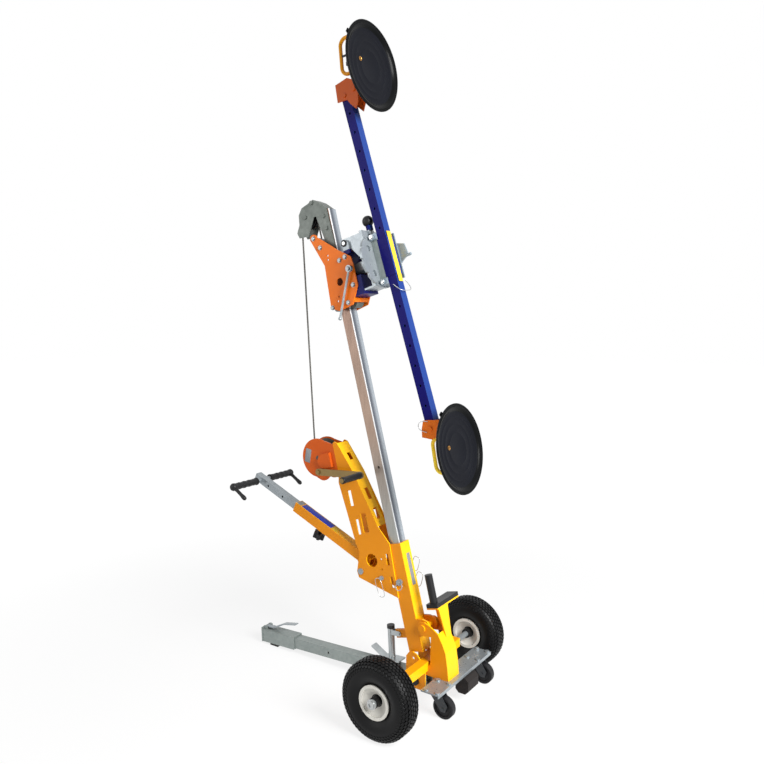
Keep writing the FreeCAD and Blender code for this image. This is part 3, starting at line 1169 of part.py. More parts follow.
# Index disc with its shaft, bar straps, and the lifting bar itself
def index_disc():
    up = S.head_axis_up
    solid = fused(rod("X", S.disc_back, 0.0, up, S.disc_radius, S.disc_sheet),
                  rod("X", S.housing_back + S.plate_thickness * SHAFT_END_SHARE, 0.0, up, S.disc_shaft,
                      S.disc_back - S.housing_back - S.plate_thickness * SHAFT_END_SHARE))
    tools = []
    for index in range(NOTCHES):
        turn = 2 * math.pi * index / NOTCHES
        tools.append(rod("X", S.disc_back - S.overrun, S.disc_radius * math.sin(turn),
                         up + S.disc_radius * math.cos(turn), S.notch_radius, S.disc_sheet + S.overrun * 2))
    for index in range(DISC_WINDOWS):
        turn = 2 * math.pi * (index + 0.5) / DISC_WINDOWS
        tools.append(rod("X", S.disc_back - S.overrun, S.disc_radius * math.sin(turn) * WINDOW_PLACE_SHARE,
                         up + S.disc_radius * math.cos(turn) * WINDOW_PLACE_SHARE,
                         S.notch_radius * WINDOW_SIZE_SHARE, S.disc_sheet + S.overrun * 2))
    return cut(solid, *tools)


node("index_disc", index_disc(), BAR)


def bar_straps():
    front = -(HALF_BAR + S.fit_gap)
    parts = []
    for turn in (-1, 1):
        middle = S.head_axis_up + S.strap_offset * turn
        parts.append(box(DISC_FRONT, -STRAP_HALF, middle - S.strap_height / 2, front - DISC_FRONT,
                         S.strap_width, S.strap_height))
        parts += pair(lambda start, width, at=middle: rod("Y", (DISC_FRONT + front) / 2, start, at,
                                                          S.strap_bolt, width),
                      STRAP_HALF, S.strap_bolt_length)
    tall = S.strap_offset * 2
    parts.append(box(DISC_FRONT, STRAP_HALF - S.plate_thickness, S.head_axis_up - S.strap_offset,
                     S.strap_front - DISC_FRONT, S.plate_thickness, tall))
    parts.append(prism(spread(FAR_PLATE_SHARES, DISC_FRONT, S.far_plate_low, S.far_plate_depth,
                              S.far_plate_height), STRAP_HALF, S.plate_thickness))
    stud_up = S.far_plate_low + S.far_plate_height * FAR_PLATE_SHARES[4][1]
    parts.append(rod("X", DISC_FRONT + S.far_plate_depth * STUD_SHARE, STRAP_HALF + S.plate_thickness / 2,
                     stud_up, S.far_stud, S.far_plate_depth * (1 - STUD_SHARE) + S.far_stud_out))
    return fused(*parts)


node("bar_straps", bar_straps(), BAR)


def lift_bar():
    inner = HALF_BAR - S.bar_wall
    length = S.bar_high - S.bar_low
    solid = box(-HALF_BAR, -HALF_BAR, S.bar_low, S.bar_size, S.bar_size, length)
    outer = HALF_BAR + S.sleeve_sheet
    sleeve = box(-outer, -outer, S.sleeve_low, outer * 2, outer * 2, S.sleeve_high - S.sleeve_low)
    inside = box(-inner, -inner, S.bar_low - S.overrun, inner * 2, inner * 2, length + S.overrun * 2)
    holes = []
    for index in range(BAR_HOLES):
        spot = S.bar_hole_first + S.bar_hole_pitch * index
        keep = S.strap_height.value * HOLE_KEEP_SHARE
        if not S.sleeve_low.value - keep < spot.value < S.sleeve_high.value + keep:
            holes.append(cross_rod(0.0, spot, S.bar_hole_radius, S.bar_size))
    return cut(fused(solid, sleeve), inside, *holes)


node("lift_bar", lift_bar(), BAR)


# Sprung index plunger
PLUNGER_FWD = S.disc_back + S.disc_sheet / 2
PLUNGER_UP = S.head_axis_up + S.disc_radius
COLLAR_LOW = S.bridge_gap + S.bridge_height + S.clear_gap
KNOB_UP = COLLAR_LOW + S.plunger_collar_length + S.plunger_ball * KNOB_SINK_SHARE
node("plunger_knob", fused(ball(0.0, 0.0, 0.0, S.plunger_radius),
                           rod("Z", 0.0, 0.0, 0.0, S.plunger_radius, S.plunger_rise),
                           rod("Z", 0.0, 0.0, COLLAR_LOW, S.plunger_collar, S.plunger_collar_length),
                           ball(0.0, 0.0, KNOB_UP, S.plunger_ball)), BAR, PLUNGER_FWD, 0.0, PLUNGER_UP)


# Cup brackets on the bar's ends, each with a cap over the bar's end
def cup_bracket(shares, back, low, depth, height, bolt_fwd, bolt_up, cap_low):
    def plate(start, width):
        return prism(spread(shares, back, low, depth, height), start, width)

    parts = pair(plate, BRACKET_IN, S.plate_thickness)
    parts.append(box(-HALF_BAR, -BRACKET_IN, cap_low, S.bar_size, BRACKET_IN * 2, S.plate_thickness))
    parts.append(cross_rod(bolt_fwd, bolt_up, S.cup_bolt, BRACKET_OUT + S.bolt_head))
    parts += pair(lambda start, width: rod("Y", bolt_fwd, start, bolt_up,
                                           S.bolt_head_radius * CUP_BOLT_SHARE, width),
                  BRACKET_OUT, S.bolt_head)
    middle = cap_low + S.plate_thickness / 2
    parts += pair(lambda start, width: rod("Y", 0.0, start, middle, S.bolt_head_radius, width), BRACKET_OUT,
                  S.bolt_head)
    return fused(*parts)


node("cup_bracket_upper", cup_bracket(BRACKET_SHARES, S.bracket_back, S.bar_high - S.bracket_drop,
                                      S.bracket_depth, S.bracket_height, S.upper_bolt_fwd,
                                      UPPER_BOLT_UP, S.bar_high), BAR)
node("cup_bracket_lower", cup_bracket(LOWER_BRACKET_SHARES, S.lower_bracket_back,
                                      S.bar_low - S.lower_bracket_drop, S.lower_bracket_depth,
                                      S.lower_bracket_height, S.lower_bolt_fwd, LOWER_BOLT_UP,
                                      S.bar_low - S.plate_thickness), BAR)


# Suction cups, their handles and pump plungers
def bolt_in_cup(frame, fwd, up):
    """A place on the bar, told in a cup's axes."""
    spot_x, spot_z = BAR.point(fwd, up)
    move_x = spot_x - frame.x
    move_z = spot_z - frame.z
    turn_cos = cosine(frame.angle)
    turn_sin = sine(frame.angle)
    return (move_x * turn_cos - move_z * turn_sin, move_z * turn_cos + move_x * turn_sin)


def cup_pad():
    outside = [(-S.cup_depth * across, S.cup_radius * out) for across, out in CUP_SHARES]
    inside = [(-S.cup_recess * across, S.cup_radius * out) for across, out in CUP_INSIDE_SHARES]
    return turned(outside + inside, "X")


def bent_grip(stand, low, high):
    """A round rod bent twice, from the cup's disc out, along and back in."""
    root = -(S.cup_depth + S.cup_disc_sheet / 2).value
    far = -stand.value
    bend = S.grip_bend.value
    slant = bend * (1 - math.sqrt(0.5))
    corners = [FreeCAD.Vector(root, 0, high.value), FreeCAD.Vector(far + bend, 0, high.value),
               FreeCAD.Vector(far + slant, 0, high.value - slant), FreeCAD.Vector(far, 0, high.value - bend),
               FreeCAD.Vector(far, 0, low.value + bend), FreeCAD.Vector(far + slant, 0, low.value + slant),
               FreeCAD.Vector(far + bend, 0, low.value), FreeCAD.Vector(root, 0, low.value)]
    path = Part.Wire([Part.LineSegment(corners[0], corners[1]).toShape(),
                      Part.Arc(corners[1], corners[2], corners[3]).toShape(),
                      Part.LineSegment(corners[3], corners[4]).toShape(),
                      Part.Arc(corners[4], corners[5], corners[6]).toShape(),
                      Part.LineSegment(corners[6], corners[7]).toShape()])
    thing = DOC.addObject("Part::Feature", "Bent")
    thing.Shape = tube_along(path, corners[0], FreeCAD.Vector(-1, 0, 0), S.grip_rod.value)
    return thing


def cup_handle(turn, stand, low, high, bolt, barrel_at):
    """The disc behind the cup with its bent grip, hinge lug and pump barrel; turn sets the barrel's way."""
    bolt_x, bolt_z = bolt
    disc_back = -(S.cup_depth + S.cup_disc_sheet)
    half = BRACKET_IN - S.clear_gap * 2
    spine_low = low if turn < 0 else bolt_z
    spine_high = high if turn > 0 else bolt_z
    barrel_low = barrel_at if turn > 0 else -(barrel_at + S.barrel_length)
    parts = [rod("X", disc_back, 0.0, 0.0, S.cup_disc_radius, S.cup_disc_sheet),
             box(disc_back, -S.lug_hub, spine_low - S.lug_hub, S.cup_disc_sheet, S.lug_hub * 2,
                 spine_high - spine_low + S.lug_hub * 2),
             rod("Y", bolt_x, -half, bolt_z, S.lug_hub, half * 2),
             box(bolt_x, -half, bolt_z - S.lug_hub, disc_back - bolt_x + S.cup_disc_sheet / 2, half * 2,
                 S.lug_hub * 2),
             rod("Z", -S.barrel_stand, 0.0, barrel_low, S.barrel_radius, S.barrel_length),
             box(-S.barrel_stand, -S.barrel_radius * BARREL_RIB_SHARE, barrel_low, S.barrel_stand + disc_back,
                 S.barrel_radius * (2 * BARREL_RIB_SHARE), S.barrel_length),
             bent_grip(stand, low, high)]
    bore = S.barrel_radius - S.barrel_wall + S.run_gap
    bore_low = barrel_low + S.barrel_wall if turn > 0 else barrel_low - S.overrun
    return cut(fused(*parts), rod("Y", bolt_x, -S.cup_disc_radius, bolt_z, S.cup_bolt + S.run_gap,
                                  S.cup_disc_radius * 2),
               rod("Z", -S.barrel_stand, 0.0, bore_low, bore, S.barrel_length - S.barrel_wall + S.overrun))


def cup_pump(turn):
    """The pump's plunger, standing out of its barrel."""
    stem_low = -S.pump_in if turn > 0 else -S.pump_out
    button_low = S.pump_out - S.pump_button_length if turn > 0 else -S.pump_out
    return fused(rod("Z", 0.0, 0.0, stem_low, S.barrel_radius - S.barrel_wall, S.pump_in + S.pump_out),
                 rod("Z", 0.0, 0.0, button_low, S.pump_button, S.pump_button_length))


CUPS = (("upper", UPPER, 1, S.upper_stand, S.upper_grip_low, S.upper_grip_top,
         bolt_in_cup(UPPER, S.upper_bolt_fwd, UPPER_BOLT_UP), S.upper_barrel),
        ("lower", LOWER, -1, S.lower_stand, S.lower_grip_low, S.lower_grip_top,
         bolt_in_cup(LOWER, S.lower_bolt_fwd, LOWER_BOLT_UP), S.lower_barrel))
for side, frame, turn, stand, low, high, bolt, barrel_at in CUPS:
    node("cup_pad_" + side, cup_pad(), frame)
    node("cup_handle_" + side, cup_handle(turn, stand, low, high, bolt, barrel_at), frame)
    node("cup_pump_" + side, cup_pump(turn), frame, -S.barrel_stand, 0.0,
         (barrel_at + S.barrel_length) * turn)


# Push handle: hinged sleeve, sliding tube, cross grips and clamp knob
def handle_sleeve():
    start = -S.handle_sleeve_long
    length = S.handle_sleeve_long + S.handle_sleeve_front
    tube = moved(square_tube(start, length, HANDLE_OUT, S.handle_sleeve_wall), z=S.handle_axis)
    hub = cross_rod(0.0, 0.0, S.handle_hub, HUB_HALF)
    rib_top = S.handle_axis - HANDLE_OUT
    rear, front, top = HANDLE_RIB_SHARES
    rib = prism([(-S.handle_hub * rear, 0.0), (S.handle_hub * front, 0.0), (S.handle_sleeve_front, rib_top),
                 (-S.handle_hub * top, rib_top)], -HANDLE_OUT, HANDLE_OUT * 2)
    boss_low = rib_top - S.knob_boss
    boss = rod("Z", -S.knob_at, 0.0, boss_low, S.knob_boss_radius, S.knob_boss)
    return cut(fused(tube, hub, rib, boss), cross_rod(0.0, 0.0, S.handle_bolt_radius + S.run_gap,
                                                      HUB_HALF + S.overrun),
               rod("Z", -S.knob_at, 0.0, boss_low - S.overrun, S.knob_stem + S.run_gap,
                   S.handle_sleeve_wall + S.knob_boss + S.overrun * 2))


node("handle_sleeve", handle_sleeve(), HANDLE)


def handle_tube():
    length = S.handle_tube_end - S.handle_tube_start
    tube = moved(square_tube(-S.handle_tube_end, length, TUBE_OUT, S.handle_tube_wall), z=S.handle_axis)
    return cut(tube, cross_rod(-S.cross_at, S.handle_axis, S.cross_rod + S.run_gap, S.handle_sleeve_size),
               cross_rod(-S.handle_hole_first, S.handle_axis, S.handle_hole_radius, S.handle_sleeve_size),
               cross_rod(-(S.handle_hole_first + S.handle_hole_pitch), S.handle_axis, S.handle_hole_radius,
                         S.handle_sleeve_size))


node("handle_tube", handle_tube(), HANDLE)


def handle_grips():
    """A rod through the tube with a grip and a forward hook at each end."""
    at = S.cross_at
    axis = S.handle_axis
    parts = [cross_rod(-at, axis, S.cross_rod, S.cross_half)]
    parts += pair(lambda start, width: rod("Y", -at, start, axis, S.cross_grip, width), S.cross_inner,
                  S.cross_half - S.cross_inner)
    parts += [ball(-at, S.cross_half, axis, S.cross_grip), ball(-at, -S.cross_half, axis, S.cross_grip)]
    hook = Frame(-at, axis, S.hook_angle)
    for turn in (-1, 1):
        parts.append(hook.hold(rod("X", 0.0, S.cross_half * turn, 0.0, S.hook_radius, S.hook_length)))
        tip_x, tip_z = hook.point(S.hook_length, 0.0)
        parts.append(ball(tip_x, S.cross_half * turn, tip_z, S.hook_radius))
    return fused(*parts)


node("handle_grips", handle_grips(), HANDLE)


def handle_knob():
    """A lobed knob on a threaded stem."""
    top = S.handle_axis - TUBE_OUT - S.clear_gap
    low = S.handle_axis - HANDLE_OUT - S.knob_drop - S.knob_height
    parts = [rod("Z", 0.0, 0.0, low, S.knob_stem, top - low),
             rod("Z", 0.0, 0.0, low, S.knob_radius, S.knob_height)]
    for index in range(KNOB_LOBES):
        turn = 2 * math.pi * index / KNOB_LOBES
        parts.append(rod("Z", S.knob_radius * math.cos(turn), S.knob_radius * math.sin(turn), low,
                         S.knob_lobe, S.knob_height))
    return fused(*parts)


node("handle_knob", handle_knob(), HANDLE, -S.knob_at)


# Pull pins in the socket and the tower
def socket_pin():
    start = SOCKET_OUT + S.clear_gap
    head_length = S.socket_pin_out * PIN_HEAD_SHARE
    head = rod("Y", 0.0, -(start + head_length), 0.0, S.socket_pin_head, head_length)
    ring = DOC.addObject("Part::Torus", "Ring")
    ring.Placement = FreeCAD.Placement(FreeCAD.Vector(0, 0, 0),
                                       FreeCAD.Rotation(FreeCAD.Vector(1, 0, 0), S.pin_ring_angle.value))
    bind(ring, "Radius1", S.pin_ring_radius)
    bind(ring, "Radius2", S.pin_ring_wire)
    bind(ring, "Placement.Base.y", -(start + S.socket_pin_out * PIN_RING_SHARE))
    bind(ring, "Placement.Base.z", -S.pin_ring_radius)
    stem_out = start + S.socket_pin_out * PIN_STEM_SHARE
    stem = rod("Y", 0.0, -stem_out, 0.0, S.socket_pin_radius, stem_out + SOCKET_OUT)
    return fused(head, stem, ring)


node("socket_pin", socket_pin(), MAST, S.socket_pin_fwd, 0.0, S.socket_pin_up)


def snap_pin():
    start = TOWER_OUT + S.clear_gap
    return fused(rod("Y", 0.0, -(start + S.plate_thickness), 0.0, S.snap_pin_head, S.plate_thickness),
                 rod("Y", 0.0, -(start + S.plate_thickness * 2), 0.0, S.snap_pin_head * SNAP_NECK_SHARE,
                     S.plate_thickness * 2),
                 rod("Y", 0.0, -start, 0.0, S.snap_pin_radius, start + TOWER_OUT + S.plate_thickness))


node("snap_pin", snap_pin(), MAST, S.snap_pin_fwd, 0.0, S.snap_pin_up)

DOC.recompute()
faults = [thing.Label for thing in DOC.Objects if "Invalid" in thing.State or "Error" in thing.State]
for thing in NODES:
    if thing.Shape.isNull() or not thing.Shape.isValid() or not thing.Shape.Solids:
        faults.append(thing.Label)
if faults:
    raise RuntimeError("unsound pieces: " + ", ".join(faults))
os.makedirs("parts", exist_ok=True)
whole = FreeCAD.BoundBox()
for thing in NODES:
    whole.add(thing.Shape.BoundBox)
    thing.Shape.exportStep(os.path.join("parts", thing.Label + ".step"))
print("pieces %d" % len(NODES))
print("box x %.2f %.2f y %.2f %.2f z %.2f %.2f"
      % (whole.XMin, whole.XMax, whole.YMin, whole.YMax, whole.ZMin, whole.ZMax))
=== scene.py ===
import json
import logging
import math
from dataclasses import dataclass, field
from enum import Enum
from typing import Any, Callable, Optional, Protocol, Sequence

import bpy
from mathutils import Matrix, Vector


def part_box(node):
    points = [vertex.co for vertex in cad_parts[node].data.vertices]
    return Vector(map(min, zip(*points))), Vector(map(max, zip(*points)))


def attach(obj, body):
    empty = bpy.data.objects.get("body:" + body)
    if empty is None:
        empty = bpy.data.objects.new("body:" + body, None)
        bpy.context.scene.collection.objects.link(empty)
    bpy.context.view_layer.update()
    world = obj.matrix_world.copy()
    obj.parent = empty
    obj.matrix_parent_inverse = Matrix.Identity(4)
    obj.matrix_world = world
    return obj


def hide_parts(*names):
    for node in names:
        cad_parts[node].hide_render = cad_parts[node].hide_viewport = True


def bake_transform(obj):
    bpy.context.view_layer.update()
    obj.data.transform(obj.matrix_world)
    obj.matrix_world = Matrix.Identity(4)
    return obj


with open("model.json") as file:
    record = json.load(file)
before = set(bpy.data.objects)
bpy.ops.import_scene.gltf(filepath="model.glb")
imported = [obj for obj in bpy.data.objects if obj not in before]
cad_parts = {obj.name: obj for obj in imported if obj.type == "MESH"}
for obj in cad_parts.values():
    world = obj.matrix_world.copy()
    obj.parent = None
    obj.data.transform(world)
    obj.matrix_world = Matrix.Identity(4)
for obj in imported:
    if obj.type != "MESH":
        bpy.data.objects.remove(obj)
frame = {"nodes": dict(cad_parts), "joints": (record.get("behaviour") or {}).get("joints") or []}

log = logging.getLogger("lifter")
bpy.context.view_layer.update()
NODES = frame["nodes"]
JOINTS = {joint["name"]: joint for joint in frame["joints"]}
MILLIMETRE = 0.001
WELD_GAP = MILLIMETRE / 50
EDGE_ROUND = 0.001
PLATE_ROUND = 0.0003
WASHER_SHARE = 0.25
HEAD_ROUND_SHARE = 0.1
ROPE_STRANDS = 6
ROPE_VALLEY = 0.78
ROPE_LAY = 0.036
Colour = tuple[float, float, float, float]
Triple = tuple[float, float, float]
Profile = Sequence[tuple[float, float]]
Skin = bpy.types.Material
Piece = bpy.types.Object
WHITE: Colour = (1.0, 1.0, 1.0, 1.0)


class Slot(Enum):
    """The record's material slots."""

    YELLOW = "yellow_paint"
    BLUE = "blue_paint"
    STEEL = "bright_steel"
    ZINC = "zinc_plate"
    TYRE = "tyre_rubber"
    PLASTIC = "black_plastic"
    RUBBER = "black_rubber"


class Side(Enum):
    """The machine's two sides."""

    NEAR = "near"
    FAR = "far"


class Cup(Enum):
    """The two suction cups."""

    UPPER = "upper"
    LOWER = "lower"


class Turn(Enum):
    """The axis that a lathe turns about."""

    X = (1.0, 0.0, 0.0)
    Y = (0.0, 1.0, 0.0)
    Z = (0.0, 0.0, 1.0)


@dataclass(frozen=True)
class Lean:
    """Axes turned about Y, set at a place on the machine: forward, side and up."""

    origin: Vector
    angle: float

    def matrix(self) -> Matrix:
        """The axes as a matrix from their own places to the machine's."""
        return Matrix.Translation(self.origin) @ Matrix.Rotation(-self.angle, 4, "Y")

    def at(self, forward: float, side: float, up: float) -> Vector:
        """A place given in these axes, told in the machine's."""
        return self.matrix() @ Vector((forward, side, up))

    @staticmethod
    def along(joint: str, sign: float = 1.0) -> "Lean":
        """Axes at a sliding joint, with up along its axis.

        Args:
            joint: The sliding joint's name.
            sign: 1 where the joint's axis points up, -1 where it points down.

        Returns:
            The leaning axes.
        """
        axis = Vector(JOINTS[joint]["axis"]) * sign
        return Lean(Vector(JOINTS[joint]["pos_m"]), math.atan2(-axis.x, axis.z))


class Value:
    """A socket in a material's node tree, with arithmetic that adds Math nodes."""

    def __init__(self, graph: "Graph", socket: bpy.types.NodeSocket) -> None:
        """Wraps one output socket of a graph."""
        self.graph = graph
        self.socket = socket

    def _math(self, operation: str, first: Any, second: Any) -> "Value":
        """Adds one Math node to the graph."""
        return self.graph.node("ShaderNodeMath", {"operation": operation}, {0: first, 1: second})

    def __add__(self, other: Any) -> "Value":
        """Sum of two values."""
        return self._math("ADD", self, other)

    __radd__ = __add__

    def __sub__(self, other: Any) -> "Value":
        """Difference of two values."""
        return self._math("SUBTRACT", self, other)

    def __rsub__(self, other: Any) -> "Value":
        """Difference with the number first."""
        return self._math("SUBTRACT", other, self)

    def __mul__(self, other: Any) -> "Value":
        """Product of two values."""
        return self._math("MULTIPLY", self, other)

    __rmul__ = __mul__

    def __gt__(self, other: Any) -> "Value":
        """One where this value is the larger."""
        return self._math("GREATER_THAN", self, other)

    def __lt__(self, other: Any) -> "Value":
        """One where this value is the smaller."""
        return self._math("LESS_THAN", self, other)

    def at_most_one(self) -> "Value":
        """The value, held at one."""
        return self._math("MINIMUM", self, 1.0)


class Graph:
    """A node tree with one way to add nodes."""

    def __init__(self, tree: bpy.types.NodeTree) -> None:
        """Takes a tree over and empties it."""
        self.tree = tree
        self.tree.nodes.clear()

    def node(self, kind: str, settings: dict[str, Any], inputs: dict[Any, Any], output: Any = 0) -> Value:
        """Adds a node, sets it up and links its inputs.

        Args:
            kind: The node's type name.
            settings: Attributes that are set before the inputs.
            inputs: Socket names or numbers with a number, a tuple or a Value each.
            output: The output socket's name or number.

        Returns:
            The chosen output as a Value.
        """
        made = self.tree.nodes.new(kind)
        for key, setting in settings.items():
            setattr(made, key, setting)
        for key, given in inputs.items():
            if isinstance(given, Value):
                self.tree.links.new(given.socket, made.inputs[key])
            else:
                made.inputs[key].default_value = given
        return Value(self, made.outputs[output])

    def place(self) -> Value:
        """Object coordinates."""
        return self.node("ShaderNodeTexCoord", {}, {}, "Object")

    def axis(self, vector: Value, name: str) -> Value:
        """A vector's part along X, Y or Z."""
        return self.node("ShaderNodeSeparateXYZ", {}, {0: vector}, name)

    def coordinates(self, stretch: Triple = (1.0, 1.0, 1.0), angle: float = 0.0) -> Value:
        """Object coordinates, stretched and turned about Y."""
        return self.node("ShaderNodeMapping", {},
                         {"Vector": self.place(), "Rotation": (0.0, angle, 0.0), "Scale": stretch})

    def reach(self, centre: Vector, keep: Triple = (1.0, 1.0, 1.0)) -> Value:
        """Distance from a place.

        Args:
            centre: The place.
            keep: 1 for each axis that counts and 0 for the others.

        Returns:
            The distance.
        """
        flat = self.node("ShaderNodeVectorMath", {"operation": "MULTIPLY"}, {0: self.place(), 1: keep})
        spot = tuple(part * kept for part, kept in zip(centre, keep))
        return self.node("ShaderNodeVectorMath", {"operation": "DISTANCE"}, {0: flat, 1: spot}, "Value")

    def distance_along(self, way: Vector) -> Value:
        """Distance from the origin, measured along one way."""
        return self.node("ShaderNodeVectorMath", {"operation": "DOT_PRODUCT"},
                         {0: self.place(), 1: tuple(way)}, "Value")

    def clamped(self, value: Value) -> Value:
        """A value held between zero and one."""
        return self.node("ShaderNodeClamp", {}, {"Value": value})

    def noise(self, scale: float, detail: float = 3.0, place: Optional[Value] = None) -> Value:
        """A noise texture's value.

        Args:
            scale: The pattern's scale.
            detail: How many finer layers it has.
            place: Its coordinates, or None for plain Object coordinates.

        Returns:
            The value, about 0.5 on average.
        """
        spot = place or self.coordinates()
        return self.node("ShaderNodeTexNoise", {},
                         {"Vector": spot, "Scale": scale, "Detail": detail}, "Fac")

    def mix(self, factor: Any, first: Any, second: Any) -> Value:
        """A mix of two colours."""
        return self.node("ShaderNodeMix", {"data_type": "RGBA"}, {0: factor, 6: first, 7: second}, 2)

    def bump(self, height: Value, strength: float, distance: float) -> Value:
        """A bump for the surface's normal."""
        return self.node("ShaderNodeBump", {},
                         {"Height": height, "Strength": strength, "Distance": distance})

    def surface(self, inputs: dict[str, Any]) -> None:
        """Ends the tree in one surface shader."""
        self.close(self.node("ShaderNodeBsdfPrincipled", {}, inputs))

    def close(self, shader: Value, kind: str = "ShaderNodeOutputMaterial") -> None:
        """Links a shader to the tree's output."""
        output = self.tree.nodes.new(kind)
        self.tree.links.new(shader.socket, output.inputs["Surface"])


def started(name: str) -> tuple[Skin, Graph]:
    """A new material and its empty graph.

    Args:
        name: The material's name.

    Returns:
        The material and the graph.
    """
    material = bpy.data.materials.new(name)
    material.use_nodes = True
    return material, Graph(material.node_tree)


def colour(red: float, green: float, blue: float) -> Colour:
    """A colour from screen values of 0 to 255, as the shader's linear numbers.

    Args:
        red: The red part.
        green: The green part.
        blue: The blue part.

    Returns:
        The three linear parts and a full alpha.
    """
    linear = [(part / 255 / 12.92) if part <= 10 else ((part / 255 + 0.055) / 1.055) ** 2.4
              for part in (red, green, blue)]
    return (linear[0], linear[1], linear[2], 1.0)


@dataclass(frozen=True)
class Paint:
    """Powder coat with a faint orange peel. Where one is given, faces forward or up take a painted light
    tone, paler as if lit.
    """

    name: str
    base: Colour
    shade: Colour
    rough: float = 0.36
    coat: float = 0.04
    shine: float = 0.16
    painted_lit_tone: Optional[Colour] = None
    cloud_scale: float = 9.0
    cloud_share: float = 0.8
    rough_swing: float = 0.14
    coat_rough: float = 0.18
    peel_scale: float = 420.0
    peel: float = 0.05
    peel_deep: float = 0.0006
    ahead_share: float = 1.3
    rise_share: float = 0.5
    painted_lit_from: float = 0.15

    def build(self) -> Skin:
        """Makes the paint's material.

        Returns:
            The material.
        """
        material, graph = started(self.name)
        cloud = graph.noise(self.cloud_scale)
        fine = graph.noise(self.peel_scale, detail=2.0)
        tone = graph.mix(cloud * self.cloud_share, self.base, self.shade)
        if self.painted_lit_tone is not None:
            # Painted light: faces that look forward or up are mixed towards the paler tone, as where the
            # lamps fall.
            facing = graph.node("ShaderNodeTexCoord", {}, {}, "Normal")
            ahead = graph.axis(facing, "X") * self.ahead_share
            rise = graph.axis(facing, "Z") * self.rise_share
            tone = graph.mix(graph.clamped(ahead + rise - self.painted_lit_from), tone, self.painted_lit_tone)
        graph.surface({
            "Base Color": tone,
            "Roughness": self.rough + (cloud - 0.5) * self.rough_swing,
            "Specular IOR Level": self.shine,
            "Coat Weight": self.coat,
            "Coat Roughness": self.coat_rough,
            "Normal": graph.bump(fine, self.peel, self.peel_deep),
        })
        return material


@dataclass(frozen=True)
class Metal:
    """Plated or drawn metal: clouds, a grain that can be drawn out to streaks, and spangle."""

    name: str
    base: Colour
    shade: Colour
    rough: float = 0.38
    metallic: float = 0.85
    streak: Triple = (1.0, 1.0, 1.0)
    grain: float = 60.0
    spangle: float = 0.0
    spangle_scale: float = 90.0
    cloud_scale: float = 14.0
    cloud_share: float = 0.55
    rough_swing: float = 0.3
    relief: float = 0.06
    relief_deep: float = 0.0006

    def build(self) -> Skin:
        """Makes the metal's material.

        Returns:
            The material.
        """
        material, graph = started(self.name)
        cloud = graph.noise(self.cloud_scale, detail=5.0)
        line = graph.noise(self.grain, place=graph.coordinates(self.streak))
        mask = cloud * self.cloud_share + line * (1 - self.cloud_share)
        if self.spangle:
            cell = graph.node("ShaderNodeTexVoronoi", {},
                              {"Vector": graph.coordinates(), "Scale": self.spangle_scale}, "Color")
            grey = graph.node("ShaderNodeRGBToBW", {}, {0: cell})
            mask = mask * (1 - self.spangle) + grey * self.spangle
        graph.surface({
            "Base Color": graph.mix(mask, self.base, self.shade),
            "Metallic": self.metallic,
            "Roughness": self.rough + (mask - 0.5) * self.rough_swing,
            "Normal": graph.bump(line, self.relief, self.relief_deep),
        })
        return material


@dataclass(frozen=True)
class Moulding:
    """Moulded rubber or plastic with a fine grain."""

    name: str
    base: Colour
    shade: Colour
    rough: float = 0.55
    shine: float = 0.22
    grain: float = 700.0
    relief: float = 0.12
    relief_deep: float = 0.0008
    cloud_scale: float = 7.0
    rough_swing: float = 0.2

    def build(self) -> Skin:
        """Makes the moulding's material.

        Returns:
            The material.
        """
        material, graph = started(self.name)
        cloud = graph.noise(self.cloud_scale, detail=4.0)
        fine = graph.noise(self.grain, detail=2.0)
        graph.surface({
            "Base Color": graph.mix(cloud, self.base, self.shade),
            "Roughness": self.rough + (cloud - 0.5) * self.rough_swing,
            "Specular IOR Level": self.shine,
            "Normal": graph.bump(fine, self.relief, self.relief_deep),
        })
        return material


@dataclass(frozen=True)
class CupRubber:
    """Near-black rubber with a dusted floor inside the lip."""

    name: str
    middle: Vector
    floor: float
    lip: Colour = colour(7, 8, 9)
    dust: Colour = colour(13, 15, 22)
    bare: Colour = colour(8, 9, 14)
    lip_rough: float = 0.26
    floor_rough: float = 0.52
    rough_swing: float = 0.12
    shine: float = 0.07
    cloud_scale: float = 11.0

    def build(self) -> Skin:
        """Makes the cup's material.

        Returns:
            The material.
        """
        material, graph = started(self.name)
        inside = graph.reach(self.middle) < self.floor
        cloud = graph.noise(self.cloud_scale, detail=4.0)
        rough = self.lip_rough + inside * (self.floor_rough - self.lip_rough)
        graph.surface({
            "Base Color": graph.mix(inside, self.lip, graph.mix(cloud, self.dust, self.bare)),
            "Roughness": rough + (cloud - 0.5) * self.rough_swing,
            "Specular IOR Level": self.shine,
        })
        return material


@dataclass(frozen=True)
class WireRope:
    """Bright strands with dark grease between them."""

    name: str
    bright: Colour = colour(122, 120, 114)
    grease: Colour = colour(62, 61, 58)
    wire_scale: float = 900.0
    cloud_scale: float = 25.0
    cloud_share: float = 0.5
    metallic: float = 0.75
    rough: float = 0.42
    rough_swing: float = 0.2
    relief: float = 0.3
    relief_deep: float = 0.0006

    def build(self) -> Skin:
        """Makes the rope's material.

        Returns:
            The material.
        """
        material, graph = started(self.name)
        wires = graph.noise(self.wire_scale, detail=2.0)
        cloud = graph.noise(self.cloud_scale)
        mask = cloud * self.cloud_share + wires * (1 - self.cloud_share)
        graph.surface({
            "Base Color": graph.mix(mask, self.bright, self.grease),
            "Metallic": self.metallic,
            "Roughness": self.rough + (wires - 0.5) * self.rough_swing,
            "Normal": graph.bump(wires, self.relief, self.relief_deep),
        })
        return material


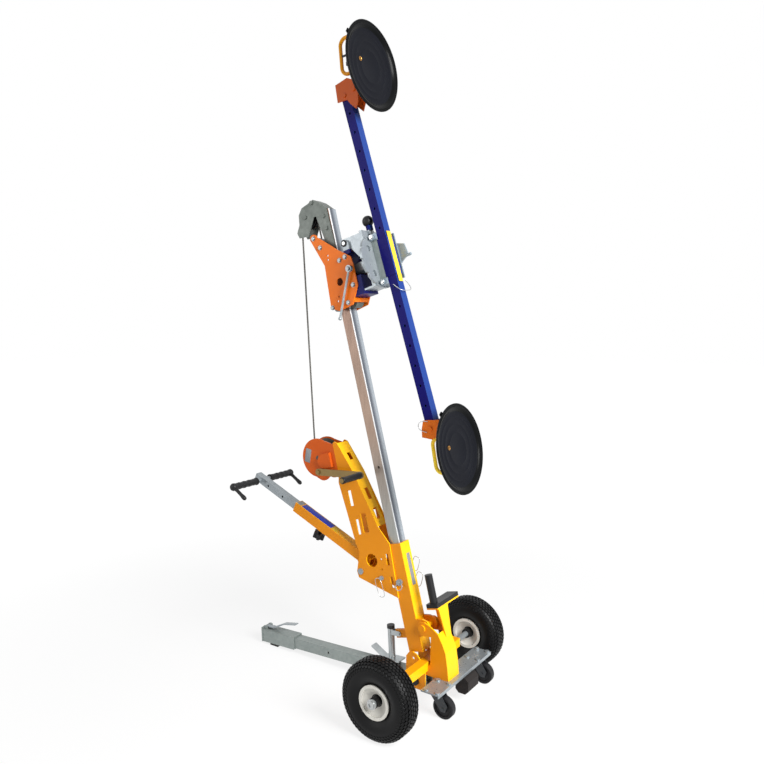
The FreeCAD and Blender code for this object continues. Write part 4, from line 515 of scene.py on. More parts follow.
@dataclass(frozen=True)
class Capped:
    """Plated metal with black rubber above one height and below another."""

    name: str
    above: float
    below: float
    base: Colour = colour(196, 201, 202)
    shade: Colour = colour(150, 156, 158)
    black: Colour = colour(22, 22, 24)
    metallic: float = 0.85
    rough: float = 0.34
    black_rough: float = 0.54
    rough_swing: float = 0.12
    cloud_scale: float = 20.0

    def build(self) -> Skin:
        """Makes the capped post's material.

        Returns:
            The material.
        """
        material, graph = started(self.name)
        height = graph.axis(graph.place(), "Z")
        mask = ((height > self.above) + (height < self.below)).at_most_one()
        cloud = graph.noise(self.cloud_scale)
        rough = self.rough + mask * (self.black_rough - self.rough)
        graph.surface({
            "Base Color": graph.mix(mask, graph.mix(cloud, self.base, self.shade), self.black),
            "Metallic": self.metallic - mask * self.metallic,
            "Roughness": rough + (cloud - 0.5) * self.rough_swing,
        })
        return material


@dataclass(frozen=True)
class Dished:
    """A pale moulded rim with a dark hub inside one radius from its axle."""

    name: str
    middle: Vector
    hub: float
    base: Colour = colour(226, 224, 217)
    shade: Colour = colour(202, 199, 190)
    dark: Colour = colour(22, 22, 23)
    rough: float = 0.4
    rough_swing: float = 0.15
    shine: float = 0.3
    cloud_scale: float = 12.0

    def build(self) -> Skin:
        """Makes the rim's material.

        Returns:
            The material.
        """
        material, graph = started(self.name)
        mask = graph.reach(self.middle, (1.0, 0.0, 1.0)) < self.hub
        cloud = graph.noise(self.cloud_scale)
        graph.surface({
            "Base Color": graph.mix(mask, graph.mix(cloud, self.base, self.shade), self.dark),
            "Roughness": self.rough + (cloud - 0.5) * self.rough_swing,
            "Specular IOR Level": self.shine,
        })
        return material


@dataclass(frozen=True)
class DrawnTube:
    """Bright square tube with painted reflections: warm sides, grey low down, warmer in the middle and brown
    high up, and a cool front, with a painted highlight along its near corner.
    """

    name: str
    lean: Lean
    half: float
    # Painted reflection: warm side tones, grey low down, warmer in the middle and brown high up.
    bare: Sequence[Colour] = (colour(176, 177, 172), colour(140, 142, 138))
    side_middle: Sequence[Colour] = (colour(186, 160, 142), colour(134, 113, 100))
    brown: Sequence[Colour] = (colour(136, 110, 96), colour(104, 82, 72))
    # Painted reflection on the front, dark then pale across, and a painted highlight on its near corner.
    front: Sequence[Colour] = (colour(84, 91, 102), colour(180, 189, 197))
    front_streak: Colour = colour(120, 128, 138)
    corner_highlight: Colour = colour(236, 238, 240)
    side_middle_from: float = 0.58
    brown_above: float = 1.0
    zone_blend: float = 3.0
    front_share: float = 0.88
    front_blend: float = 8.0
    band_from: float = 0.36
    band_blend: float = 2.6
    streak_share: float = 0.35
    corner_highlight_share: float = 0.15
    corner_highlight_blend: float = 14.0
    grain: float = 16.0
    stretch: Triple = (9.0, 9.0, 0.5)
    metallic: float = 0.55
    rough: float = 0.30
    rough_swing: float = 0.25
    relief: float = 0.06
    relief_deep: float = 0.0006

    def build(self) -> Skin:
        """Makes the tube's material.

        Returns:
            The material.
        """
        material, graph = started(self.name)
        line = graph.noise(self.grain, place=graph.coordinates(self.stretch, self.lean.angle))
        ahead = self.lean.matrix().to_3x3() @ Vector((1.0, 0.0, 0.0))
        edge = self.lean.origin.dot(ahead) + self.half * self.front_share
        front = graph.clamped((graph.distance_along(ahead) - edge) * (self.front_blend / self.half))
        graph.surface({
            "Base Color": graph.mix(front, self.sides(graph, line), self.face(graph, line)),
            "Metallic": self.metallic,
            "Roughness": self.rough + (line - 0.5) * self.rough_swing,
            "Normal": graph.bump(line, self.relief, self.relief_deep),
        })
        return material

    def sides(self, graph: Graph, line: Value) -> Value:
        """Colour of the sides: a painted warm reflection, in three zones by height.

        Args:
            graph: The material's graph.
            line: The drawn lines' value.

        Returns:
            The colour.
        """
        height = graph.axis(graph.place(), "Z")
        bare, side_middle, brown = (graph.mix(line, *pair) for pair in (self.bare, self.side_middle, self.brown))
        lower = graph.mix(graph.clamped((height - self.side_middle_from) * self.zone_blend), bare, side_middle)
        return graph.mix(graph.clamped((height - self.brown_above) * self.zone_blend), lower, brown)

    def face(self, graph: Graph, line: Value) -> Value:
        """Colour of the front: a painted reflection, paler towards its far side, and a painted highlight
        along its near corner.

        Args:
            graph: The material's graph.
            line: The drawn lines' value.

        Returns:
            The colour.
        """
        side = graph.axis(graph.place(), "Y")
        across = graph.clamped(side * (0.5 / self.half) + 0.5)
        band = graph.mix(graph.clamped((across - self.band_from) * self.band_blend), *self.front)
        streaked = graph.mix(line * self.streak_share, band, self.front_streak)
        # Painted highlight: a bright band along the front's near corner.
        corner_highlight = graph.clamped((self.corner_highlight_share - across) * self.corner_highlight_blend)
        return graph.mix(corner_highlight, streaked, self.corner_highlight)


@dataclass(frozen=True)
class PartPlated:
    """Navy enamel below a height up the mast and zinc plate above it."""

    name: str
    lean: Lean
    above: float
    navy: Sequence[Colour] = (colour(26, 28, 104), colour(18, 19, 80))
    zinc: Sequence[Colour] = (colour(172, 179, 183), colour(126, 134, 139))
    metallic: float = 0.4
    rough: float = 0.34
    rough_swing: float = 0.16
    shine: float = 0.1
    cloud_scale: float = 14.0

    def build(self) -> Skin:
        """Makes the two-tone material.

        Returns:
            The material.
        """
        material, graph = started(self.name)
        rise = self.lean.matrix().to_3x3() @ Vector((0.0, 0.0, 1.0))
        mask = graph.distance_along(rise) > self.lean.origin.dot(rise) + self.above
        cloud = graph.noise(self.cloud_scale, detail=4.0)
        graph.surface({
            "Base Color": graph.mix(mask, graph.mix(cloud, *self.navy), graph.mix(cloud, *self.zinc)),
            "Metallic": mask * self.metallic,
            "Roughness": self.rough + (cloud - 0.5) * self.rough_swing,
            "Specular IOR Level": self.shine,
        })
        return material


def only(*pieces: Piece) -> None:
    """Makes some objects the only selected ones, and the first of them the active one.

    Args:
        pieces: The objects.
    """
    bpy.ops.object.select_all(action="DESELECT")
    for piece in pieces:
        piece.select_set(True)
    bpy.context.view_layer.objects.active = pieces[0]


def fresh(add: Callable[..., Any], **settings: Any) -> Piece:
    """A new primitive, selected by itself.

    Args:
        add: The operator that adds it.
        settings: What the operator is told.

    Returns:
        The new object.
    """
    bpy.ops.object.select_all(action="DESELECT")
    add(**settings)
    return bpy.context.active_object


def edit(piece: Piece) -> None:
    """Opens one object's mesh with all of it selected.

    Args:
        piece: The object.
    """
    only(piece)
    bpy.ops.object.mode_set(mode="EDIT")
    bpy.ops.mesh.select_all(action="SELECT")


def leave() -> None:
    """Closes the open mesh."""
    bpy.ops.object.mode_set(mode="OBJECT")


def settle(piece: Piece, place: Matrix) -> Piece:
    """Moves a mesh by a matrix and leaves its object at the origin.

    Args:
        piece: The object.
        place: The matrix.

    Returns:
        The same object.
    """
    only(piece)
    piece.matrix_world = place @ piece.matrix_world
    bpy.ops.object.transform_apply(location=True, rotation=True, scale=True)
    return piece


def softened(piece: Piece, width: float, segments: int = 2, sharp: float = 40.0) -> Piece:
    """Rounds a piece's edges with an applied bevel and smooths its faces.

    Args:
        piece: The object.
        width: The bevel's width.
        segments: The bevel's number of steps.
        sharp: Angle in degrees past which an edge stays sharp.

    Returns:
        The same object.
    """
    only(piece)
    change = piece.modifiers.new("edges", "BEVEL")
    change.width = width
    change.segments = segments
    change.limit_method = "ANGLE"
    bpy.ops.object.modifier_apply(modifier=change.name)
    bpy.ops.object.shade_smooth_by_angle(angle=math.radians(sharp))
    return piece


def block(name: str, size: Vector, round_off: float) -> Piece:
    """A block about the origin with rounded edges.

    Args:
        name: The piece's name.
        size: Its sizes along X, Y and Z.
        round_off: Radius of the edges.

    Returns:
        The new object.
    """
    piece = fresh(bpy.ops.mesh.primitive_cube_add, size=1.0)
    piece.name = name
    edit(piece)
    bpy.ops.transform.resize(value=size)
    leave()
    return softened(piece, round_off)


def lathe(name: str, profile: Profile, turn: Turn, steps: int, sharp: float = 35.0) -> Piece:
    """A profile drawn point by point and spun about an axis through the origin.

    Args:
        name: The piece's name.
        profile: Places along the axis with their radii.
        turn: The axis.
        steps: Number of steps in the full turn.
        sharp: Angle in degrees past which an edge stays sharp.

    Returns:
        The new object.
    """
    def spot(along: float, radius: float) -> Vector:
        """A profile point in the plane that is spun.

        Args:
            along: Its place along the axis.
            radius: Its distance from the axis.

        Returns:
            The point.
        """
        if turn is Turn.X:
            return Vector((along, 0.0, radius))
        if turn is Turn.Y:
            return Vector((0.0, along, radius))
        return Vector((radius, 0.0, along))

    piece = fresh(bpy.ops.mesh.primitive_plane_add, size=MILLIMETRE)
    piece.name = name
    edit(piece)
    bpy.ops.mesh.merge(type="CENTER")
    here = spot(*profile[0])
    bpy.ops.transform.translate(value=here)
    for along, radius in profile[1:]:
        there = spot(along, radius)
        bpy.ops.mesh.extrude_region_move(TRANSFORM_OT_translate={"value": there - here})
        here = there
    bpy.ops.mesh.select_all(action="SELECT")
    bpy.ops.mesh.spin(steps=steps, angle=math.tau, center=(0.0, 0.0, 0.0), axis=turn.value)
    bpy.ops.mesh.select_all(action="SELECT")
    bpy.ops.mesh.remove_doubles(threshold=WELD_GAP)
    bpy.ops.mesh.normals_make_consistent(inside=False)
    leave()
    bpy.ops.object.shade_smooth_by_angle(angle=math.radians(sharp))
    return piece


def drawn(name: str, route: Sequence[Vector]) -> Piece:
    """A smooth open curve led by the points of a route.

    Args:
        name: The curve's name.
        route: At least five points.

    Returns:
        The new curve.
    """
    piece = fresh(bpy.ops.curve.primitive_nurbs_path_add)
    piece.name = name
    spline = piece.data.splines[0]
    spline.points.add(max(0, len(route) - len(spline.points)))
    for point, place in zip(spline.points, route):
        point.co = (place.x, place.y, place.z, 1.0)
    spline.order_u = 3
    spline.use_endpoint_u = True
    return piece


def meshed(piece: Piece, sharp: float) -> Piece:
    """A curve turned into a closed mesh with its faces outward.

    Args:
        piece: The curve.
        sharp: Angle in degrees past which an edge stays sharp.

    Returns:
        The same object, now a mesh.
    """
    piece.data.use_fill_caps = True
    only(piece)
    bpy.ops.object.convert(target="MESH")
    edit(piece)
    bpy.ops.mesh.normals_make_consistent(inside=False)
    leave()
    bpy.ops.object.shade_smooth_by_angle(angle=math.radians(sharp))
    return piece


def wire(name: str, route: Sequence[Vector], radius: float) -> Piece:
    """A bent round wire.

    Args:
        name: The piece's name.
        route: At least five points on its middle line.
        radius: The wire's radius.

    Returns:
        The new object.
    """
    piece = drawn(name, route)
    piece.data.resolution_u = 6
    piece.data.bevel_depth = radius
    piece.data.bevel_resolution = 3
    return meshed(piece, sharp=60.0)


def twisted(name: str, route: Sequence[Vector], radius: float) -> Piece:
    """A rope of twisted strands along a route.

    Args:
        name: The piece's name.
        route: Points close together on the rope's middle line.
        radius: The rope's radius.

    Returns:
        The new object.
    """
    fresh(bpy.ops.mesh.primitive_circle_add, vertices=2 * ROPE_STRANDS, radius=radius)
    bpy.ops.object.convert(target="CURVE")
    section = bpy.context.active_object
    for index, point in enumerate(section.data.splines[0].points):
        if index % 2:
            point.co.xyz = point.co.xyz * ROPE_VALLEY
    piece = drawn(name, route)
    turned = 0.0
    for index in range(1, len(route)):
        turned += math.tau * (route[index] - route[index - 1]).length / ROPE_LAY
        piece.data.splines[0].points[index].tilt = turned
    piece.data.resolution_u = 3
    piece.data.bevel_mode = "OBJECT"
    piece.data.bevel_object = section
    meshed(piece, sharp=75.0)
    discard(section)
    return piece


def between(first: Vector, last: Vector, step: float) -> list[Vector]:
    """Points along a straight line, both ends in it."""
    count = max(1, round((last - first).length / step))
    return [first.lerp(last, index / count) for index in range(count + 1)]


def bolt(name: str, washer: float, head: float, height: float) -> Piece:
    """A washer and hexagon head on a face at the origin, standing out along minus Y.

    Args:
        name: The piece's name.
        washer: The washer's radius.
        head: The head's radius over its corners.
        height: Height of both together.

    Returns:
        The new object.
    """
    thick = height * WASHER_SHARE
    plate = lathe(name, [(0.0, 0.0), (0.0, washer), (-thick, washer), (-thick, 0.0)], Turn.Y, steps=24)
    cap = fresh(bpy.ops.mesh.primitive_cylinder_add, vertices=6, radius=1.0, depth=1.0)
    edit(cap)
    bpy.ops.transform.rotate(value=math.pi / 2, orient_axis="X", center_override=(0.0, 0.0, 0.0))
    bpy.ops.transform.resize(value=(head, height - thick, head))
    bpy.ops.transform.translate(value=(0.0, -(height + thick) / 2, 0.0))
    leave()
    softened(cap, head * HEAD_ROUND_SHARE, segments=1)
    return joined(name, [plate, cap])


def copied(piece: Piece, place: Matrix, name: Optional[str] = None) -> Piece:
    """A copy of a piece with its own mesh, moved by a matrix.

    Args:
        piece: The piece.
        place: The matrix.
        name: The copy's name, or None where it needs none of its own.

    Returns:
        The copy.
    """
    twin = piece.copy()
    twin.data = piece.data.copy()
    twin.name = name or piece.name
    bpy.context.scene.collection.objects.link(twin)
    twin.data.transform(place)
    return twin


def discard(*seeds: Piece) -> None:
    """Removes models that were only copied."""
    for seed in seeds:
        bpy.data.objects.remove(seed)


def joined(name: str, pieces: Sequence[Piece]) -> Piece:
    """Several pieces as one mesh.

    Args:
        name: The joined piece's name.
        pieces: The pieces, the first of which takes up the others.

    Returns:
        The first piece.
    """
    only(*pieces)
    bpy.ops.object.join()
    pieces[0].name = name
    return pieces[0]


def dress(piece: Piece, material: Skin) -> None:
    """Gives a piece one material all over."""
    piece.data.materials.clear()
    piece.data.materials.append(material)


def fit(piece: Piece, body: str, material: Skin,
        stands_for: Sequence[str] = ()) -> Piece:
    """Sets a finished piece on its body.

    Args:
        piece: The finished piece.
        body: The body that it rides on.
        material: Its material.
        stands_for: CAD nodes that it replaces.

    Returns:
        The same piece.
    """
    dress(piece, material)
    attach(piece, body)
    if stands_for:
        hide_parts(*stands_for)
    log.info("piece %s on %s", piece.name, body)
    return piece


class Finish(Protocol):
    """Anything that can make a material."""

    def build(self) -> Skin:
        """Makes the material."""


def made_by(finish: Finish) -> Any:
    """A dataclass field that a finish fills when the table is made."""
    return field(default_factory=finish.build)


@dataclass
class Finishes:
    """All the materials that several pieces share, each made once."""

    # Painted light: amber's paler tone on faces forward or up.
    amber: Skin = made_by(Paint("amber_paint", colour(232, 146, 16), colour(224, 135, 14),
                                painted_lit_tone=colour(253, 188, 12)))
    # Painted shade: winch and deep are darker copies of the amber paint.
    winch: Skin = made_by(Paint("shaded_winch_paint", colour(208, 92, 24), colour(196, 82, 20)))
    deep: Skin = made_by(Paint("shaded_orange_paint", colour(236, 117, 18), colour(226, 106, 15)))
    yellow: Skin = made_by(Paint("yellow_enamel", colour(246, 168, 26), colour(238, 156, 22), rough=0.3))
    strip: Skin = made_by(Paint("yellow_strip", colour(226, 190, 62), colour(216, 178, 50), rough=0.5,
                                coat=0.0))
    # Painted light: a paler copy of the yellow enamel, for the lower cup's handle.
    lit_yellow: Skin = made_by(Paint("lit_yellow_enamel", colour(254, 222, 70), colour(248, 212, 56), rough=0.34))
    straps: Skin = made_by(Metal("strap_plate", colour(156, 170, 180), colour(116, 129, 139), rough=0.42,
                                 metallic=0.35, spangle=0.2))
    # Painted light and reflection: the blue's paler tone on faces forward or up.
    blue: Skin = made_by(Paint("blue_enamel", colour(20, 17, 102), colour(15, 13, 88), rough=0.3,
                               coat=0.02, shine=0.06, painted_lit_tone=colour(30, 57, 124)))
    drum: Skin = made_by(Metal("drum_steel", colour(96, 90, 82), colour(66, 62, 58), rough=0.45,
                               metallic=0.6))
    # Partly painted shade: the forks are dark metal, made darker still for the shade that they stand in.
    fork: Skin = made_by(Metal("dark_fork", colour(70, 73, 76), colour(48, 50, 53), rough=0.4,
                               metallic=0.5))
    leg: Skin = made_by(Metal("galvanised_tube", colour(160, 168, 165), colour(118, 127, 125), rough=0.44,
                              metallic=0.35, streak=(0.6, 6.0, 6.0), grain=20.0, spangle=0.25))
    zinc: Skin = made_by(Metal("bright_zinc", colour(174, 181, 185), colour(124, 132, 137), rough=0.30,
                               metallic=0.5, spangle=0.2))
    dull: Skin = made_by(Metal("dull_zinc", colour(106, 111, 106), colour(74, 80, 76), rough=0.42,
                               metallic=0.45, spangle=0.2))
    gold: Skin = made_by(Metal("passivated_zinc", colour(150, 124, 74), colour(108, 90, 56), rough=0.38,
                               metallic=0.6))
    chrome: Skin = made_by(Metal("bright_fastener", colour(206, 208, 208), colour(160, 163, 164),
                                 rough=0.2, metallic=0.9))
    steel: Skin = made_by(Metal("plain_fastener", colour(146, 150, 152), colour(104, 108, 110), rough=0.3,
                                metallic=0.8))
    tyre: Skin = made_by(Moulding("tyre_rubber", colour(6, 6, 7), colour(3, 3, 4), rough=0.44, shine=0.2))
    caster: Skin = made_by(Moulding("caster_rubber", colour(30, 30, 33), colour(20, 20, 22), rough=0.46))
    plastic: Skin = made_by(Moulding("black_plastic", colour(20, 20, 22), colour(13, 13, 15), rough=0.42,
                                     shine=0.3, grain=900.0, relief=0.2))
    rubber: Skin = made_by(Moulding("black_rubber", colour(38, 33, 31), colour(26, 23, 22), rough=0.6))
    rope: Skin = made_by(WireRope("wire_rope"))
    brass: Skin = made_by(Metal("brass_port", colour(186, 136, 66), colour(140, 98, 48), rough=0.3,
                                metallic=0.9))
    plate_blue: Skin = made_by(Paint("blue_plate", colour(40, 58, 176), colour(32, 46, 156), rough=0.4))
    plate_grey: Skin = made_by(Metal("grey_plate", colour(150, 152, 154), colour(112, 114, 117),
                                     rough=0.5, metallic=0.3))


@dataclass
class Frames:
    """The leaning axes that pieces are placed in."""

    mast: Lean = field(default_factory=lambda: Lean.along("carriage_slide"))
    bar: Lean = field(default_factory=lambda: Lean.along("plunger_pull"))
    upper: Lean = field(default_factory=lambda: Lean.along("pump_upper_press", -1.0))
    lower: Lean = field(default_factory=lambda: Lean.along("pump_lower_press"))


@dataclass
class Wheels:
    """Two pneumatic wheels with block tread."""

    finishes: Finishes
    width: float = 0.085
    radius: float = 0.130
    bead: float = 0.0561
    groove: float = 0.0035
    blocks: int = 58
    block_long: float = 0.0068
    block_wide: float = 0.0056
    block_round: float = 0.0007
    block_deep_share: float = 1.9
    hub: float = 0.0205
    bead_share: float = 0.66
    wall_shares: Profile = (
        (0.42, 0.994), (0.70, 0.957), (0.86, 0.90), (0.915, 0.83), (0.98, 0.745), (0.97, 0.665),
        (0.88, 0.565), (0.74, 0.5))
    # Each row of blocks: shares of half the width, of the crown's radius and of a step round, and its tilt.
    rows: Sequence[tuple[float, float, float, float]] = (
        (0.0, 1.0, 0.0, 0.0), (0.27, 0.999, 0.5, 4.0), (-0.27, 0.999, 0.5, -4.0), (0.52, 0.990, 0.0, 20.0),
        (-0.52, 0.990, 0.0, -20.0), (0.71, 0.949, 0.5, 38.0), (-0.71, 0.949, 0.5, -38.0),
        (0.835, 0.893, 0.0, 58.0), (-0.835, 0.893, 0.0, -58.0), (0.87, 0.834, 0.5, 74.0),
        (-0.87, 0.834, 0.5, -74.0))
    nut: Profile = (
        (0.0, 0.0), (0.0, 0.0165), (0.003, 0.0165), (0.0035, 0.0125), (0.0085, 0.012), (0.0095, 0.010),
        (0.0095, 0.0065), (0.006, 0.006), (0.006, 0.0))

    def build(self) -> None:
        """Makes a tyre and a nut, sets copies on both sides, and dresses the rims and axle."""
        seed = joined("tyre_tread", [self.carcass(), *self.tread()])
        nut = lathe("hub_nut", self.nut, Turn.Y, steps=24)
        for side in Side:
            low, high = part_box("tyre_" + side.value)
            middle = (low + high) / 2
            tyre = copied(seed, Matrix.Translation(middle), "tyre_tread_" + side.value)
            fit(tyre, "wheel_" + side.value, self.finishes.tyre, ["tyre_" + side.value])
            self.hub_nut(nut, side, middle)
            rim = Dished("rim_moulding_" + side.value, middle, self.hub)
            dress(NODES["rim_" + side.value], rim.build())
        discard(seed, nut)
        dress(NODES["axle_bar"], self.finishes.zinc)

    def carcass(self) -> Piece:
        """The tyre's body under its tread.

        Returns:
            The body.
        """
        half = self.width / 2
        crown = self.radius - self.groove
        right = [(half * across, crown * out) for across, out in self.wall_shares]
        right.append((half * self.bead_share, self.bead))
        left = [(-place, out) for place, out in right]
        profile = [*reversed(left), (0.0, crown), *right, left[-1]]
        return lathe("tyre_body", profile, Turn.Y, steps=96, sharp=50.0)

    def tread(self) -> list[Piece]:
        """Diamond blocks in staggered rows from shoulder to shoulder.

        Returns:
            All the blocks.
        """
        seed = self.diamond()
        made = []
        for across, out, shift, tilt in self.rows:
            for index in range(self.blocks):
                turn = math.tau * (index + shift) / self.blocks
                foot = Vector((0.0, self.width / 2 * across, (self.radius - self.groove) * out))
                place = (Matrix.Rotation(turn, 4, "Y") @ Matrix.Translation(foot)
                         @ Matrix.Rotation(math.radians(-tilt), 4, "X"))
                made.append(copied(seed, place))
        discard(seed)
        return made

    def diamond(self) -> Piece:
        """One tread block, its foot sunk in the carcass.

        Returns:
            The block, about the origin.
        """
        piece = fresh(bpy.ops.mesh.primitive_cylinder_add, vertices=4, radius=1.0, depth=1.0)
        piece.name = "tread_block"
        edit(piece)
        deep = self.groove * self.block_deep_share
        bpy.ops.transform.resize(value=(self.block_long, self.block_wide, deep))
        leave()
        return softened(piece, self.block_round, segments=1, sharp=30.0)

    def hub_nut(self, nut: Piece, side: Side, middle: Vector) -> None:
        """The nut on the axle's end, bright on the near side and black on the far side.

        Args:
            nut: The nut's model, standing out along Y.
            side: The wheel's side.
            middle: The wheel's middle.
        """
        near = side is Side.NEAR
        low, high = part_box("axle_bar")
        end = low.y + MILLIMETRE / 2 if near else high.y - MILLIMETRE / 2
        place = Matrix.Translation((middle.x, end, middle.z))
        turn = Matrix.Rotation(math.pi if near else 0.0, 4, "Z")
        piece = copied(nut, place @ turn, "hub_nut_" + side.value)
        finish = self.finishes.chrome if near else self.finishes.plastic
        fit(piece, "chassis", finish)


@dataclass
class Cups:
    """Two suction cups with lipped rubber faces."""

    finishes: Finishes
    frames: Frames
    radius: float = 0.151
    depth: float = 0.028
    recess: float = 0.011
    floor_share: float = 0.835
    # The pad's outline: its back in shares of depth and radius, its lip in places along the axis and shares
    # of the radius, and its floor's edge in shares of recess and radius.
    back_shares: Profile = (
        (1.0, 0.0), (1.0, 0.40), (0.95, 0.46), (0.78, 0.70), (0.42, 0.91), (0.2, 0.975), (0.1, 0.997))
    lip: Profile = (
        (-0.0006, 1.0), (0.0, 0.994), (0.0, 0.972), (-0.0022, 0.962), (-0.0022, 0.945), (-0.0006, 0.935),
        (-0.0010, 0.905), (-0.0050, 0.865))
    floor_edge_shares: Profile = ((0.75, 0.835), (0.9, 0.80), (0.98, 0.775))
    rib_high: float = 0.0007
    rib_crest: float = 0.0012
    rib_foot: float = 0.003
    barrel_stand: float = 0.066
    upper_reach: float = 0.064
    lower_reach: float = -0.032
    rib_shares: Sequence[float] = (0.70, 0.55, 0.36)
    port: Profile = (
        (-0.002, 0.0), (-0.002, 0.0075), (0.0015, 0.0075), (0.002, 0.006), (0.0008, 0.0035), (-0.001, 0.003),
        (-0.001, 0.0))
    port_place: Vector = Vector((0.0, -0.058, 0.012))
    arm_size: Vector = Vector((0.030, 0.007, 0.006))
    arm_place: Vector = Vector((-0.115, 0.0, 0.070))
    stub: Profile = (
        (0.0, 0.0), (0.0, 0.005), (0.001, 0.006), (0.012, 0.006), (0.013, 0.0045), (0.036, 0.0045),
        (0.036, 0.0))
    stub_place: Vector = Vector((-0.106, 0.0, 0.033))
    tab_size: Vector = Vector((0.005, 0.016, 0.012))
    tab_back: float = 0.0075
    tab_share: float = 0.975
    tab_turns: Sequence[float] = (math.radians(56.0), math.radians(33.0))

    def build(self) -> None:
        """Makes a pad, port and tab, sets copies on both cups, and dresses the rest."""
        seeds = (self.pad(), self.air_port(), block("cup_tab", self.tab_size, EDGE_ROUND))
        upper_turn, lower_turn = self.tab_turns
        for cup, lean, reach, turn in ((Cup.UPPER, self.frames.upper, self.upper_reach, upper_turn),
                                       (Cup.LOWER, self.frames.lower, self.lower_reach, lower_turn)):
            face = Lean(lean.at(self.barrel_stand, 0.0, -reach), lean.angle)
            self.set_face(cup, face, turn, seeds)
            upper = cup is Cup.UPPER
            if upper:
                self.stay(face)
            # Painted light and shade: the lower handle takes a paler copy of the yellow, and the brackets
            # darker copies of the amber paint.
            dress(NODES["cup_handle_" + cup.value], self.finishes.yellow if upper else self.finishes.lit_yellow)
            dress(NODES["cup_pump_" + cup.value], self.finishes.plastic)
            dress(NODES["cup_bracket_" + cup.value], self.finishes.winch if upper else self.finishes.deep)
        discard(*seeds)

    def set_face(self, cup: Cup, face: Lean, turn: float, seeds: Sequence[Piece]) -> None:
        """Sets a pad, an air port and a pull tab on one cup.

        Args:
            cup: The cup.
            face: Axes at the cup's middle, with forward out of its face.
            turn: The tab's angle round the cup, from its top.
            seeds: The models of pad, port and tab.
        """
        pad, port, tab = seeds
        body = "cup_" + cup.value
        place = face.matrix()
        rubber = CupRubber("cup_rubber_" + cup.value, face.origin, self.radius * self.floor_share).build()
        piece = copied(pad, place, "cup_face_" + cup.value)
        fit(piece, body, rubber, ["cup_pad_" + cup.value])
        piece = copied(port, place @ Matrix.Translation(self.port_place), "cup_port_" + cup.value)
        fit(piece, body, self.finishes.brass)
        spot = Matrix.Translation((-self.tab_back, 0.0, self.radius * self.tab_share))
        piece = copied(tab, place @ Matrix.Rotation(turn, 4, "X") @ spot, "cup_tab_" + cup.value)
        fit(piece, body, rubber)

    def pad(self) -> Piece:
        """The rubber cup: a lip, a groove and a faintly ringed floor.

        Returns:
            The pad, facing along X.
        """
        edge = self.radius
        floor = -self.recess
        profile = [(-self.depth * back, edge * share) for back, share in self.back_shares]
        profile += [(along, edge * share) for along, share in self.lip]
        profile += [(floor * down, edge * share) for down, share in self.floor_edge_shares]
        crest = floor + self.rib_high
        for share in self.rib_shares:
            middle = share * edge
            profile += [(floor, middle + self.rib_foot), (crest, middle + self.rib_crest),
                        (crest, middle - self.rib_crest), (floor, middle - self.rib_foot)]
        profile.append((floor, 0.0))
        return lathe("cup_face", profile, Turn.X, steps=128, sharp=40.0)

    def air_port(self) -> Piece:
        """The brass air port in the cup's floor.

        Returns:
            The port, facing along X.
        """
        profile = [(along - self.recess, out) for along, out in self.port]
        return lathe("cup_port", profile, Turn.X, steps=24)

    def stay(self, face: Lean) -> None:
        """The black arm and stub between the upper cup's handle and its pump.

        Args:
            face: Axes at the cup's middle, with forward out of its face.
        """
        arm = block("pump_arm", self.arm_size, EDGE_ROUND)
        settle(arm, Matrix.Translation(self.arm_place))
        stub = lathe("pump_stub", self.stub, Turn.Z, steps=24)
        settle(stub, Matrix.Translation(self.stub_place))
        piece = joined("pump_stay", [arm, stub])
        settle(piece, face.matrix())
        fit(piece, "cup_upper", self.finishes.plastic)


